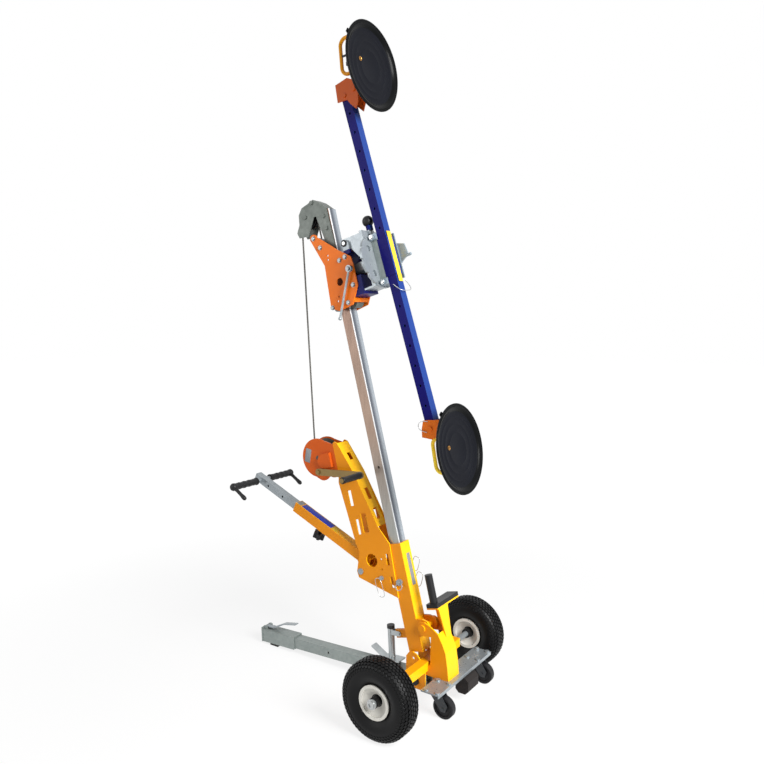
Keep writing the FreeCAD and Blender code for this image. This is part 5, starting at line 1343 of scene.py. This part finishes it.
@dataclass
class PushHandle:
    """The push handle: painted sleeve, bright tube, moulded grips and clamp knob."""

    finishes: Finishes
    inner: float = 0.036
    outer: float = 0.159
    grip: float = 0.015
    rod: float = 0.009
    rod_sunk: float = 0.004
    # The grip's two ends: places from each end, with shares of the grip's radius.
    collar: Profile = ((0.0, 0.0), (0.0, 0.98), (0.003, 1.0), (0.006, 1.0), (0.008, 0.86))
    cap: Profile = ((-0.004, 0.97), (0.004, 1.0), (0.010, 0.8), (0.0125, 0.4), (0.013, 0.0))
    hook_shares: Profile = ((0.0, 0.0), (0.0, 1.0), (0.35, 0.78), (0.7, 0.8), (0.9, 1.0), (1.0, 0.95))
    hook_tip: Profile = ((0.005, 0.6), (0.0065, 0.0))
    hook_long: float = 0.068
    hook: float = 0.0085
    hook_turn: float = math.radians(9.0)
    waves: int = 4
    wave_steps: int = 20
    wave_from: float = 0.010
    wave_clear: float = 0.016
    wave_share: float = 0.88
    wave_high_share: float = 0.07
    # Each plate's middle, down the tube from the cross rod, and its length.
    main_plate: tuple[float, float] = (0.305, 0.155)
    end_plate: tuple[float, float] = (0.212, 0.022)
    mark_plate: tuple[float, float] = (0.398, 0.026)
    plate_top: float = 0.0192
    plate_wide: float = 0.030
    plate_thick: float = 0.0008

    def lean(self) -> Lean:
        """Axes of the handle's tube, set at its cross rod, with forward down the tube."""
        way = Vector(JOINTS["handle_extend"]["axis"])
        return Lean(Vector(JOINTS["handle_extend"]["pos_m"]), math.atan2(way.z, way.x) + math.pi)

    def build(self) -> None:
        """Makes the cross rod, grips and plates, and dresses the rest."""
        lean = self.lean()
        self.cross_rod(lean)
        self.grips(lean)
        self.plate(lean, "sleeve_plate", *self.main_plate, Slot.BLUE, self.finishes.plate_blue)
        self.plate(lean, "sleeve_plate_end", *self.end_plate, Slot.STEEL, self.finishes.plate_grey)
        self.plate(lean, "sleeve_plate_mark", *self.mark_plate, Slot.YELLOW, self.finishes.strip)
        dress(NODES["handle_sleeve"], self.finishes.amber)
        dress(NODES["handle_tube"], self.finishes.zinc)
        dress(NODES["handle_knob"], self.finishes.plastic)

    def cross_rod(self, lean: Lean) -> None:
        """The bright rod between the grips.

        Args:
            lean: The handle's axes.
        """
        reach = self.inner + self.rod_sunk
        profile = [(-reach, 0.0), (-reach, self.rod), (reach, self.rod), (reach, 0.0)]
        piece = lathe("cross_rod", profile, Turn.Y, steps=32)
        settle(piece, lean.matrix())
        fit(piece, "handle_slider", self.finishes.zinc)

    def grip_profile(self) -> list[tuple[float, float]]:
        """One grip's outline from its inner collar to its outer end.

        Returns:
            Places along the rod with their radii.
        """
        profile = [(self.inner + along, self.grip * share) for along, share in self.collar]
        length = self.outer - self.inner - self.wave_clear
        for index in range(self.wave_steps + 1):
            share = index / self.wave_steps
            swell = math.sin(share * math.tau * self.waves) * math.sin(share * math.pi)
            wave = self.wave_share + self.wave_high_share * swell
            profile.append((self.inner + self.wave_from + share * length, self.grip * wave))
        return profile + [(self.outer + along, self.grip * share) for along, share in self.cap]

    def grips(self, lean: Lean) -> None:
        """Two moulded grips with finger waves and a hook on each.

        Args:
            lean: The handle's axes.
        """
        long, thick = self.hook_long, self.hook
        hook_profile = [(long * along, thick * out) for along, out in self.hook_shares]
        hook_profile += [(long + along, thick * out) for along, out in self.hook_tip]
        grip = lathe("grip_body", self.grip_profile(), Turn.Y, steps=40, sharp=45.0)
        hook = lathe("grip_hook", hook_profile, Turn.X, steps=24, sharp=60.0)
        hook_turn = Matrix.Rotation(self.hook_turn, 4, "Y")
        made = []
        for place, turn in ((-self.outer, math.pi), (self.outer, 0.0)):
            made.append(copied(grip, Matrix.Rotation(turn, 4, "Z")))
            made.append(copied(hook, Matrix.Translation((0.0, place, 0.0)) @ hook_turn))
        discard(grip, hook)
        piece = joined("moulded_grips", made)
        settle(piece, lean.matrix())
        fit(piece, "handle_slider", self.finishes.plastic, ["handle_grips"])

    def plate(self, lean: Lean, name: str, place: float, length: float, slot: Slot,
              material: Skin) -> None:
        """A bare plate on the sleeve's top.

        Args:
            lean: The handle's axes.
            name: The plate's name.
            place: Its middle, down the tube from the cross rod.
            length: Its length.
            slot: The record's slot of its finish; not used.
            material: Its material.
        """
        piece = block(name, Vector((length, self.plate_wide, self.plate_thick)), PLATE_ROUND)
        settle(piece, lean.matrix() @ Matrix.Translation((place, 0.0, self.plate_top)))
        fit(piece, "handle", material)


@dataclass
class Winch:
    """Winch frame, drum, rope and crank with a shaped grip."""

    finishes: Finishes
    frames: Frames
    grip: float = 0.012
    grip_middle_share: float = 0.99
    # Either end of the grip: places from the end, with shares of the grip's radius.
    grip_end: Profile = ((0.0, 0.9), (0.002, 1.0), (0.010, 1.0), (0.014, 0.93))
    pin: float = 0.006
    rope: float = 0.00325
    pitch: float = 0.00685
    loops: int = 5
    on_drum: float = 0.05535
    on_sheave: float = 0.03675
    tail: float = 0.0065
    rope_step: float = 0.0075
    arc_step: float = math.radians(8.0)
    plate_size: Vector = Vector((0.026, 0.0008, 0.052))
    plate_place: Vector = Vector((-0.046, -0.0332, 0.004))
    plate_turn: float = 0.16

    def build(self) -> None:
        """Makes the grip, ropes and plate, and dresses the rest."""
        self.crank_grip()
        self.side_plate()
        # Painted shade: the winch frame takes a darker copy of the amber paint.
        dress(NODES["winch_frame"], self.finishes.winch)
        dress(NODES["winch_drum"], self.finishes.drum)
        dress(NODES["winch_crank"], self.finishes.gold)
        dress(NODES["sheave"], self.finishes.plastic)
        drum = Lean(Vector(JOINTS["drum_turn"]["pos_m"]), self.frames.mast.angle)
        self.wound_rope(drum)
        self.rising_rope(drum)
        self.falling_rope()

    def crank_grip(self) -> None:
        """The barrel-shaped grip."""
        low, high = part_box("crank_grip")
        length = high.y - low.y
        middle = (low + high) / 2
        first = [(along, self.grip * share) for along, share in self.grip_end]
        last = [(length - along, out) for along, out in reversed(first)]
        profile = [(0.0, self.pin), *first, (length / 2, self.grip * self.grip_middle_share), *last,
                   (length, self.pin), (0.0, self.pin)]
        piece = lathe("shaped_crank_grip", profile, Turn.Y, steps=40, sharp=50.0)
        settle(piece, Matrix.Translation((middle.x, low.y, middle.z)))
        fit(piece, "crank_handle", self.finishes.plastic, ["crank_grip"])

    def side_plate(self) -> None:
        """A bare plate on the winch's near side."""
        centre = Vector(JOINTS["drum_turn"]["pos_m"])
        piece = block("winch_plate", self.plate_size, PLATE_ROUND)
        spot = Vector((centre.x, 0.0, centre.z)) + self.plate_place
        settle(piece, Matrix.Translation(spot) @ Matrix.Rotation(self.plate_turn, 4, "Y"))
        fit(piece, "mast", self.finishes.plate_grey)

    def wound_rope(self, drum: Lean) -> None:
        """The loops on the drum, with a short straight tail at each end.

        Args:
            drum: Axes at the drum's middle, with up along the mast.
        """
        start = -self.pitch * (self.loops + 1) / 2
        count = round(self.loops * math.tau / self.arc_step)
        route = []
        for index in range(count + 1):
            turn = self.loops * math.tau * index / count
            route.append(Vector((-self.on_drum * math.cos(turn), start + self.pitch * turn / math.tau,
                                 self.on_drum * math.sin(turn))))
        rise = Vector((0.0, self.pitch / math.tau / self.on_drum, 1.0)).normalized() * self.tail
        route = [route[0] - rise, *route, route[-1] + rise]
        piece = twisted("wound_rope", [drum.at(*spot) for spot in route], self.rope)
        fit(piece, "drum", self.finishes.rope, ["rope_winding"])

    def rising_rope(self, drum: Lean) -> None:
        """Half a turn on the drum, the straight run up, and the bend over the sheave.

        Args:
            drum: Axes at the drum's middle, with up along the mast.
        """
        lane = Vector((0.0, self.pitch * (self.loops + 1) / 2, 0.0))
        wheel = drum.matrix().inverted() @ Vector(JOINTS["sheave_turn"]["pos_m"])
        line = wheel - lane
        along = line.normalized()
        left = Vector((-along.z, 0.0, along.x)).normalized()
        slope = (self.on_drum - self.on_sheave) / line.length
        level = math.sqrt(1.0 - slope * slope)
        normal = left * level + along * slope
        travel = along * level - left * slope

        def bend(centre: Vector, radius: float, first: float, last: float) -> list[Vector]:
            """Points of an arc in the rope's plane.

            Args:
                centre: The arc's centre.
                radius: Its radius.
                first: The angle of its first point, from the way out to the straight run.
                last: The angle of its last point.

            Returns:
                The points.
            """
            steps = math.ceil(abs(last - first) / self.arc_step)
            turns = [first + (last - first) * index / steps for index in range(steps + 1)]
            return [centre + (normal * math.cos(turn) + travel * math.sin(turn)) * radius for turn in turns]

        on_drum = bend(lane, self.on_drum, -math.pi, 0.0)
        over = bend(wheel, self.on_sheave, 0.0, math.acos(normal.x))
        run = between(on_drum[-1], over[0], self.rope_step)
        route = [drum.at(*spot) for spot in on_drum[:-1] + run + over[1:]]
        fit(twisted("rising_rope", route, self.rope), "mast", self.finishes.rope, ["rope_up"])

    def falling_rope(self) -> None:
        """The rope's front run, which on the machine lengthens as the carriage goes down; here it is built
        at one length.
        """
        lean = self.frames.mast
        inward = lean.matrix().inverted()
        low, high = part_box("rope_down")
        wheel = inward @ Vector(JOINTS["sheave_turn"]["pos_m"])
        forward = wheel.x + self.on_sheave
        foot = lean.at(forward, 0.0, (inward @ Vector((high.x, 0.0, low.z))).z)
        top = lean.at(forward, 0.0, wheel.z)
        piece = twisted("front_rope", between(top, foot, self.rope_step), self.rope)
        dress(piece, self.finishes.rope)
        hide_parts("rope_down")
        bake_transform(piece)
        log.info("piece %s between mast and carriage", piece.name)


@dataclass
class Head:
    """Carriage, tilting head, index disc and lifting bar."""

    finishes: Finishes
    frames: Frames
    plate_face: float = 0.047
    pin: float = 0.006
    pin_washer: float = 0.0088
    pin_head: float = 0.0074
    pin_height: float = 0.005
    pins: Sequence[tuple[float, float]] = (
        (0.0387, 0.0240), (0.0387, -0.1290), (-0.0337, 0.0930), (-0.0337, -0.1290), (-0.0558, 0.1335),
        (0.0647, 0.0286), (0.0750, -0.0753))
    bar_front: float = 0.0706
    strip_size: Vector = Vector((0.0008, 0.024, 0.180))
    strip_middle: float = -0.100
    web_size: Vector = Vector((0.0280, 0.0040, 0.172))
    web_place: Vector = Vector((0.0182, -0.0175, -0.100))
    web_round: float = 0.0006
    collar: Profile = (
        (0.0, 0.0064), (0.0, 0.0118), (0.002, 0.0124), (0.016, 0.0124), (0.018, 0.0112), (0.018, 0.0064),
        (0.0, 0.0064))
    collar_up: float = 0.0185
    plated_above: float = 0.0515
    wire: float = 0.0013
    bush: Profile = (
        (0.0, 0.0), (0.0, 0.0125), (-0.0018, 0.0122), (-0.0022, 0.0090), (-0.0005, 0.0085), (-0.0005, 0.0))
    bush_place: Vector = Vector((0.0695, -0.0418, 0.0765))
    pin_cap: float = 0.0068
    pin_end: Profile = ((0.0, 0.0), (0.0, 1.0), (-0.0035, 1.0), (-0.0042, 0.9), (-0.0042, 0.0))
    eye_place: tuple[float, float] = (0.080, -0.019)
    eye_washer: float = 0.0085
    eye_head: float = 0.0070
    strap_bolt: tuple[float, float] = (0.01815, 0.034)
    strap_ups: tuple[float, float] = (-0.016, -0.176)
    strap_clip: Sequence[Vector] = (
        Vector((0.052, -0.024, -0.196)), Vector((0.066, -0.028, -0.212)), Vector((0.078, -0.020, -0.226)),
        Vector((0.081, 0.004, -0.226)), Vector((0.081, 0.034, -0.224)), Vector((0.078, 0.038, -0.206)),
        Vector((0.070, 0.030, -0.186)))
    bracket_clip: Sequence[Vector] = (
        Vector((0.048, -0.0245, -0.676)), Vector((0.030, -0.026, -0.668)), Vector((0.014, -0.028, -0.672)),
        Vector((0.008, -0.029, -0.684)), Vector((0.014, -0.028, -0.700)), Vector((0.034, -0.0245, -0.710)))

    def build(self) -> None:
        """Makes the bolts, strip, web, collar, bush and clips, and dresses the rest."""
        for name in ("tilt_head", "index_disc", "tilt_lever"):
            dress(NODES[name], self.finishes.zinc)
        dress(NODES["bar_straps"], self.finishes.straps)
        for name in ("roller_front_upper", "roller_front_lower", "roller_rear_upper", "roller_rear_lower"):
            dress(NODES[name], self.finishes.dull)
        # Painted shade: the carriage plates take a darker copy of the amber paint.
        dress(NODES["carriage_plates"], self.finishes.deep)
        plated = PartPlated("block_enamel", self.frames.mast, self.plated_above)
        dress(NODES["carriage_block"], plated.build())
        dress(NODES["lift_bar"], self.finishes.blue)
        dress(NODES["plunger_knob"], self.finishes.plastic)
        dress(NODES["gooseneck"], self.finishes.dull)
        self.carriage_bolts()
        self.bar_strip()
        self.plunger_collar()
        self.head_bush()
        self.lever_bolt()
        self.strap_bolts()
        for name, route in (("strap_clip", self.strap_clip), ("bracket_clip", self.bracket_clip)):
            piece = wire(name, [self.frames.bar.at(*spot) for spot in route], self.wire)
            fit(piece, "bar", self.finishes.chrome)

    def plunger_collar(self) -> None:
        """The blue collar under the plunger's ball."""
        piece = lathe("plunger_collar", self.collar, Turn.Z, steps=32)
        settle(piece, self.frames.bar.matrix() @ Matrix.Translation((0.0, 0.0, self.collar_up)))
        fit(piece, "plunger", self.finishes.blue)

    def lever_bolt(self) -> None:
        """The bolt head on the tilt lever's eye."""
        forward, up = self.eye_place
        piece = bolt("lever_bolt", self.eye_washer, self.eye_head, self.pin_height)
        settle(piece, Matrix.Translation(self.frames.mast.at(forward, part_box("tilt_lever")[0].y, up)))
        fit(piece, "head_lock", self.finishes.steel)

    def strap_bolts(self) -> None:
        """Bright bolt heads on the near ends of both straps."""
        forward, out = self.strap_bolt
        seed = bolt("strap_bolt", self.eye_washer, self.eye_head, self.pin_height)
        made = [copied(seed, Matrix.Translation(self.frames.bar.at(forward, -out, up)))
                for up in self.strap_ups]
        discard(seed)
        fit(joined("strap_bolts", made), "bar", self.finishes.chrome)

    def head_bush(self) -> None:
        """The black bush round the head's pin on the near lug, and the pin's bright end."""
        place = self.frames.mast.matrix() @ Matrix.Translation(self.bush_place)
        ring = lathe("head_bush", self.bush, Turn.Y, steps=32)
        settle(ring, place)
        fit(ring, "carriage", self.finishes.plastic)
        profile = [(along, self.pin_cap * share) for along, share in self.pin_end]
        cap = lathe("head_pin_end", profile, Turn.Y, steps=24)
        settle(cap, place)
        fit(cap, "head", self.finishes.chrome)

    def carriage_bolts(self) -> None:
        """Seven bolts through the carriage plates, with washers and hexagon heads on both sides."""
        reach = self.plate_face - MILLIMETRE / 2
        shank = [(-reach, 0.0), (-reach, self.pin), (reach, self.pin), (reach, 0.0)]
        near = bolt("carriage_bolt", self.pin_washer, self.pin_head, self.pin_height)
        settle(near, Matrix.Translation((0.0, -self.plate_face, 0.0)))
        far = copied(near, Matrix.Rotation(math.pi, 4, "Z"))
        seed = joined("carriage_bolt", [lathe("shank", shank, Turn.Y, steps=24), near, far])
        made = [copied(seed, self.frames.mast.matrix() @ Matrix.Translation((forward, 0.0, up)))
                for forward, up in self.pins]
        discard(seed)
        piece = joined("carriage_bolts", made)
        fit(piece, "carriage", self.finishes.steel, ["carriage_pins"])

    def bar_strip(self) -> None:
        """A plain yellow strip on the bar's front, and the web between its straps."""
        piece = block("bar_strip", self.strip_size, PLATE_ROUND)
        spot = Vector((self.bar_front + self.strip_size.x / 2, 0.0, self.strip_middle))
        settle(piece, self.frames.bar.matrix() @ Matrix.Translation(spot))
        fit(piece, "bar", self.finishes.strip)
        web = block("strap_web", self.web_size, self.web_round)
        settle(web, self.frames.bar.matrix() @ Matrix.Translation(self.web_place))
        fit(web, "bar", self.finishes.leg)


@dataclass
class Chassis:
    """Chassis, casters, leg, prop, socket and tower."""

    finishes: Finishes
    frames: Frames
    mast_half: float = 0.020
    wire: float = 0.0011
    cap_high: float = 0.012
    cap_low: float = 0.0146
    plate_size: Vector = Vector((0.0008, 0.020, 0.112))
    plate_place: Vector = Vector((0.0284, 0.006, -1.085))
    clip_places: Sequence[Vector] = (Vector((0.0345, 0.0305, -1.075)), Vector((0.0345, 0.0305, -1.130)))
    clip_long: float = 0.026
    clip_wide: float = 0.013
    clip_turn: float = 0.25
    # Half of a wire loop: shares of its half width and half length.
    loop_shares: Sequence[tuple[float, float]] = (
        (0.0, -1.0), (0.7, -1.0), (1.0, -0.6), (1.0, 0.0), (1.0, 0.6), (0.7, 1.0), (0.0, 1.0))
    lanyard_place: Vector = Vector((-0.004, -0.0405, -0.034))
    lanyard_long: float = 0.034
    lanyard_turn: float = -0.35

    def build(self) -> None:
        """Makes the clips and the socket's plate, and dresses the rest."""
        for name in ("chassis_frame", "mast_socket", "tower_frame", "tilt_pin"):
            dress(NODES[name], self.finishes.amber)
        for name in ("leg_tube", "leg_sleeve"):
            dress(NODES[name], self.finishes.leg)
        # The mast tube's colours are painted reflections and a painted corner highlight.
        dress(NODES["mast_tube"], DrawnTube("drawn_tube", self.frames.mast, self.mast_half).build())
        for name in ("caster_plate", "leg_lever", "handle_bolt", "socket_pin", "snap_pin"):
            dress(NODES[name], self.finishes.zinc)
        for name in ("leg_pin", "step_pad"):
            dress(NODES[name], self.finishes.plastic)
        for name in ("bumper_block", "leg_foot"):
            dress(NODES[name], self.finishes.rubber)
        for side in Side:
            # Partly painted shade: the forks take a darker metal.
            dress(NODES["caster_fork_" + side.value], self.finishes.fork)
            dress(NODES["caster_wheel_" + side.value], self.finishes.caster)
        low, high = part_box("prop_post")
        capped = Capped("capped_prop", high.z - self.cap_high, low.z + self.cap_low)
        dress(NODES["prop_post"], capped.build())
        self.socket_plate()
        self.clips()

    def socket_plate(self) -> None:
        """A bare grey plate on the socket's front."""
        piece = block("socket_plate", self.plate_size, PLATE_ROUND)
        settle(piece, self.frames.mast.matrix() @ Matrix.Translation(self.plate_place))
        fit(piece, "mast", self.finishes.plate_grey)

    def loop(self, name: str, half_long: float, half_wide: float) -> Piece:
        """A long wire loop in the X and Z plane, about the origin.

        Args:
            name: The piece's name.
            half_long: Half its length.
            half_wide: Half its width.

        Returns:
            The new object.
        """
        route = [Vector((across * half_wide, 0.0, along * half_long)) for across, along in self.loop_shares]
        route += [Vector((-spot.x, 0.0, spot.z)) for spot in reversed(route[:-1])]
        return wire(name, route, self.wire)

    def clips(self) -> None:
        """Wire clips: two on the socket's far side, one on the tower's pull pin."""
        seed = self.loop("clip", self.clip_long, self.clip_wide)
        for name, place in zip(("clip_upper", "clip_lower"), self.clip_places):
            spot = Matrix.Translation(self.frames.mast.at(*place))
            piece = copied(seed, spot @ Matrix.Rotation(self.clip_turn, 4, "Y"), name)
            fit(piece, "mast", self.finishes.chrome)
        discard(seed)
        pin = Vector(JOINTS["snap_pin_pull"]["pos_m"])
        piece = self.loop("snap_lanyard", self.lanyard_long, self.clip_wide)
        spot = Matrix.Translation(pin + self.lanyard_place)
        settle(piece, spot @ Matrix.Rotation(self.lanyard_turn, 4, "Y"))
        fit(piece, "tower_pin", self.finishes.chrome)


@dataclass(frozen=True)
class Lamp:
    """A soft square lamp."""

    name: str
    place: Vector
    size: float
    power: float

    def build(self, target: Vector) -> None:
        """Sets the lamp up.

        Args:
            target: The place that it is aimed at.
        """
        data = bpy.data.lights.new(self.name, "AREA")
        data.shape = "SQUARE"
        data.size = self.size
        data.energy = self.power
        lamp = bpy.data.objects.new(self.name, data)
        bpy.context.scene.collection.objects.link(lamp)
        lamp.location = self.place
        lamp.rotation_euler = (target - self.place).to_track_quat("-Z", "Y").to_euler()


@dataclass
class Studio:
    """Floor, lamps, world and camera."""

    key: Lamp = Lamp("key", Vector((3.4, -0.7, 2.6)), 1.8, 255.0)
    fill: Lamp = Lamp("fill", Vector((-2.6, -3.2, 2.2)), 2.4, 45.0)
    aim: Vector = Vector((0.2, 0.0, 1.0))
    floor_size: float = 40.0
    floor_tone: Colour = (0.86, 0.86, 0.86, 1.0)
    floor_rough: float = 0.9
    eye: Vector = Vector((1.5718, -2.0720, 1.3132))
    azimuth: float = math.radians(34.75)
    elevation: float = math.radians(5.02)
    lens: float = 33.98
    sensor: float = 36.0
    ambient: float = 0.27
    whiten: float = 0.80
    glow: float = 1.02
    near_floor: float = 0.9
    fade: float = 0.8

    def build(self) -> None:
        """Makes the whole studio."""
        bpy.context.scene.view_settings.view_transform = "Standard"
        self.floor()
        self.world()
        for lamp in (self.key, self.fill):
            lamp.build(self.aim)
        self.camera()

    @staticmethod
    def seen(graph: Graph) -> Value:
        """One where a ray comes from the camera, a reflection or a view through glass.

        Args:
            graph: The graph of the floor's or the world's nodes.

        Returns:
            The value.
        """
        total = None
        for output in ("Is Camera Ray", "Is Glossy Ray", "Is Transmission Ray"):
            ray = graph.node("ShaderNodeLightPath", {}, {}, output)
            total = ray if total is None else total + ray
        return total.at_most_one()

    def floor(self) -> None:
        """A pale floor that keeps a soft shadow."""
        plane = fresh(bpy.ops.mesh.primitive_plane_add, size=self.floor_size)
        plane.name = "studio_floor"
        material, graph = started("pale_floor")
        plain = graph.node("ShaderNodeBsdfPrincipled", {},
                           {"Base Color": self.floor_tone, "Roughness": self.floor_rough,
                            "Specular IOR Level": 0.0})
        glow = graph.node("ShaderNodeEmission", {}, {"Color": WHITE, "Strength": self.glow})
        far = graph.clamped((graph.reach(Vector()) - self.near_floor) * self.fade)
        factor = self.seen(graph) * (self.whiten + far * (1.0 - self.whiten))
        graph.close(graph.node("ShaderNodeMixShader", {}, {0: factor, 1: plain, 2: glow}))
        plane.data.materials.append(material)

    def world(self) -> None:
        """White where it is seen and a plain level of light elsewhere."""
        world = bpy.data.worlds.new("studio")
        bpy.context.scene.world = world
        world.use_nodes = True
        graph = Graph(world.node_tree)
        level = self.ambient + self.seen(graph) * (1.0 - self.ambient)
        sky = graph.node("ShaderNodeBackground", {}, {"Color": WHITE, "Strength": level})
        graph.close(sky, "ShaderNodeOutputWorld")

    def camera(self) -> None:
        """The camera at the photograph's place and angle."""
        data = bpy.data.cameras.new("camera")
        data.lens = self.lens
        data.sensor_width = self.sensor
        camera = bpy.data.objects.new("camera", data)
        bpy.context.scene.collection.objects.link(camera)
        back = Vector((math.sin(self.azimuth) * math.cos(self.elevation),
                       -math.cos(self.azimuth) * math.cos(self.elevation), math.sin(self.elevation)))
        camera.location = self.eye
        camera.rotation_euler = (-back).to_track_quat("-Z", "Y").to_euler()
        bpy.context.scene.camera = camera


def main() -> None:
    """Builds the studio and every sub-assembly."""
    logging.basicConfig(level=logging.INFO, format="%(name)s: %(message)s")
    Studio().build()
    finishes = Finishes()
    frames = Frames()
    builders: Sequence[Callable[[], None]] = (
        Wheels(finishes).build, Cups(finishes, frames).build, PushHandle(finishes).build,
        Winch(finishes, frames).build, Head(finishes, frames).build, Chassis(finishes, frames).build)
    for build in builders:
        build()
    bare = [name for name, node in NODES.items() if not node.data.materials]
    log.info("nodes without a finish: %s", bare)


if __name__ == "__main__":
    main()
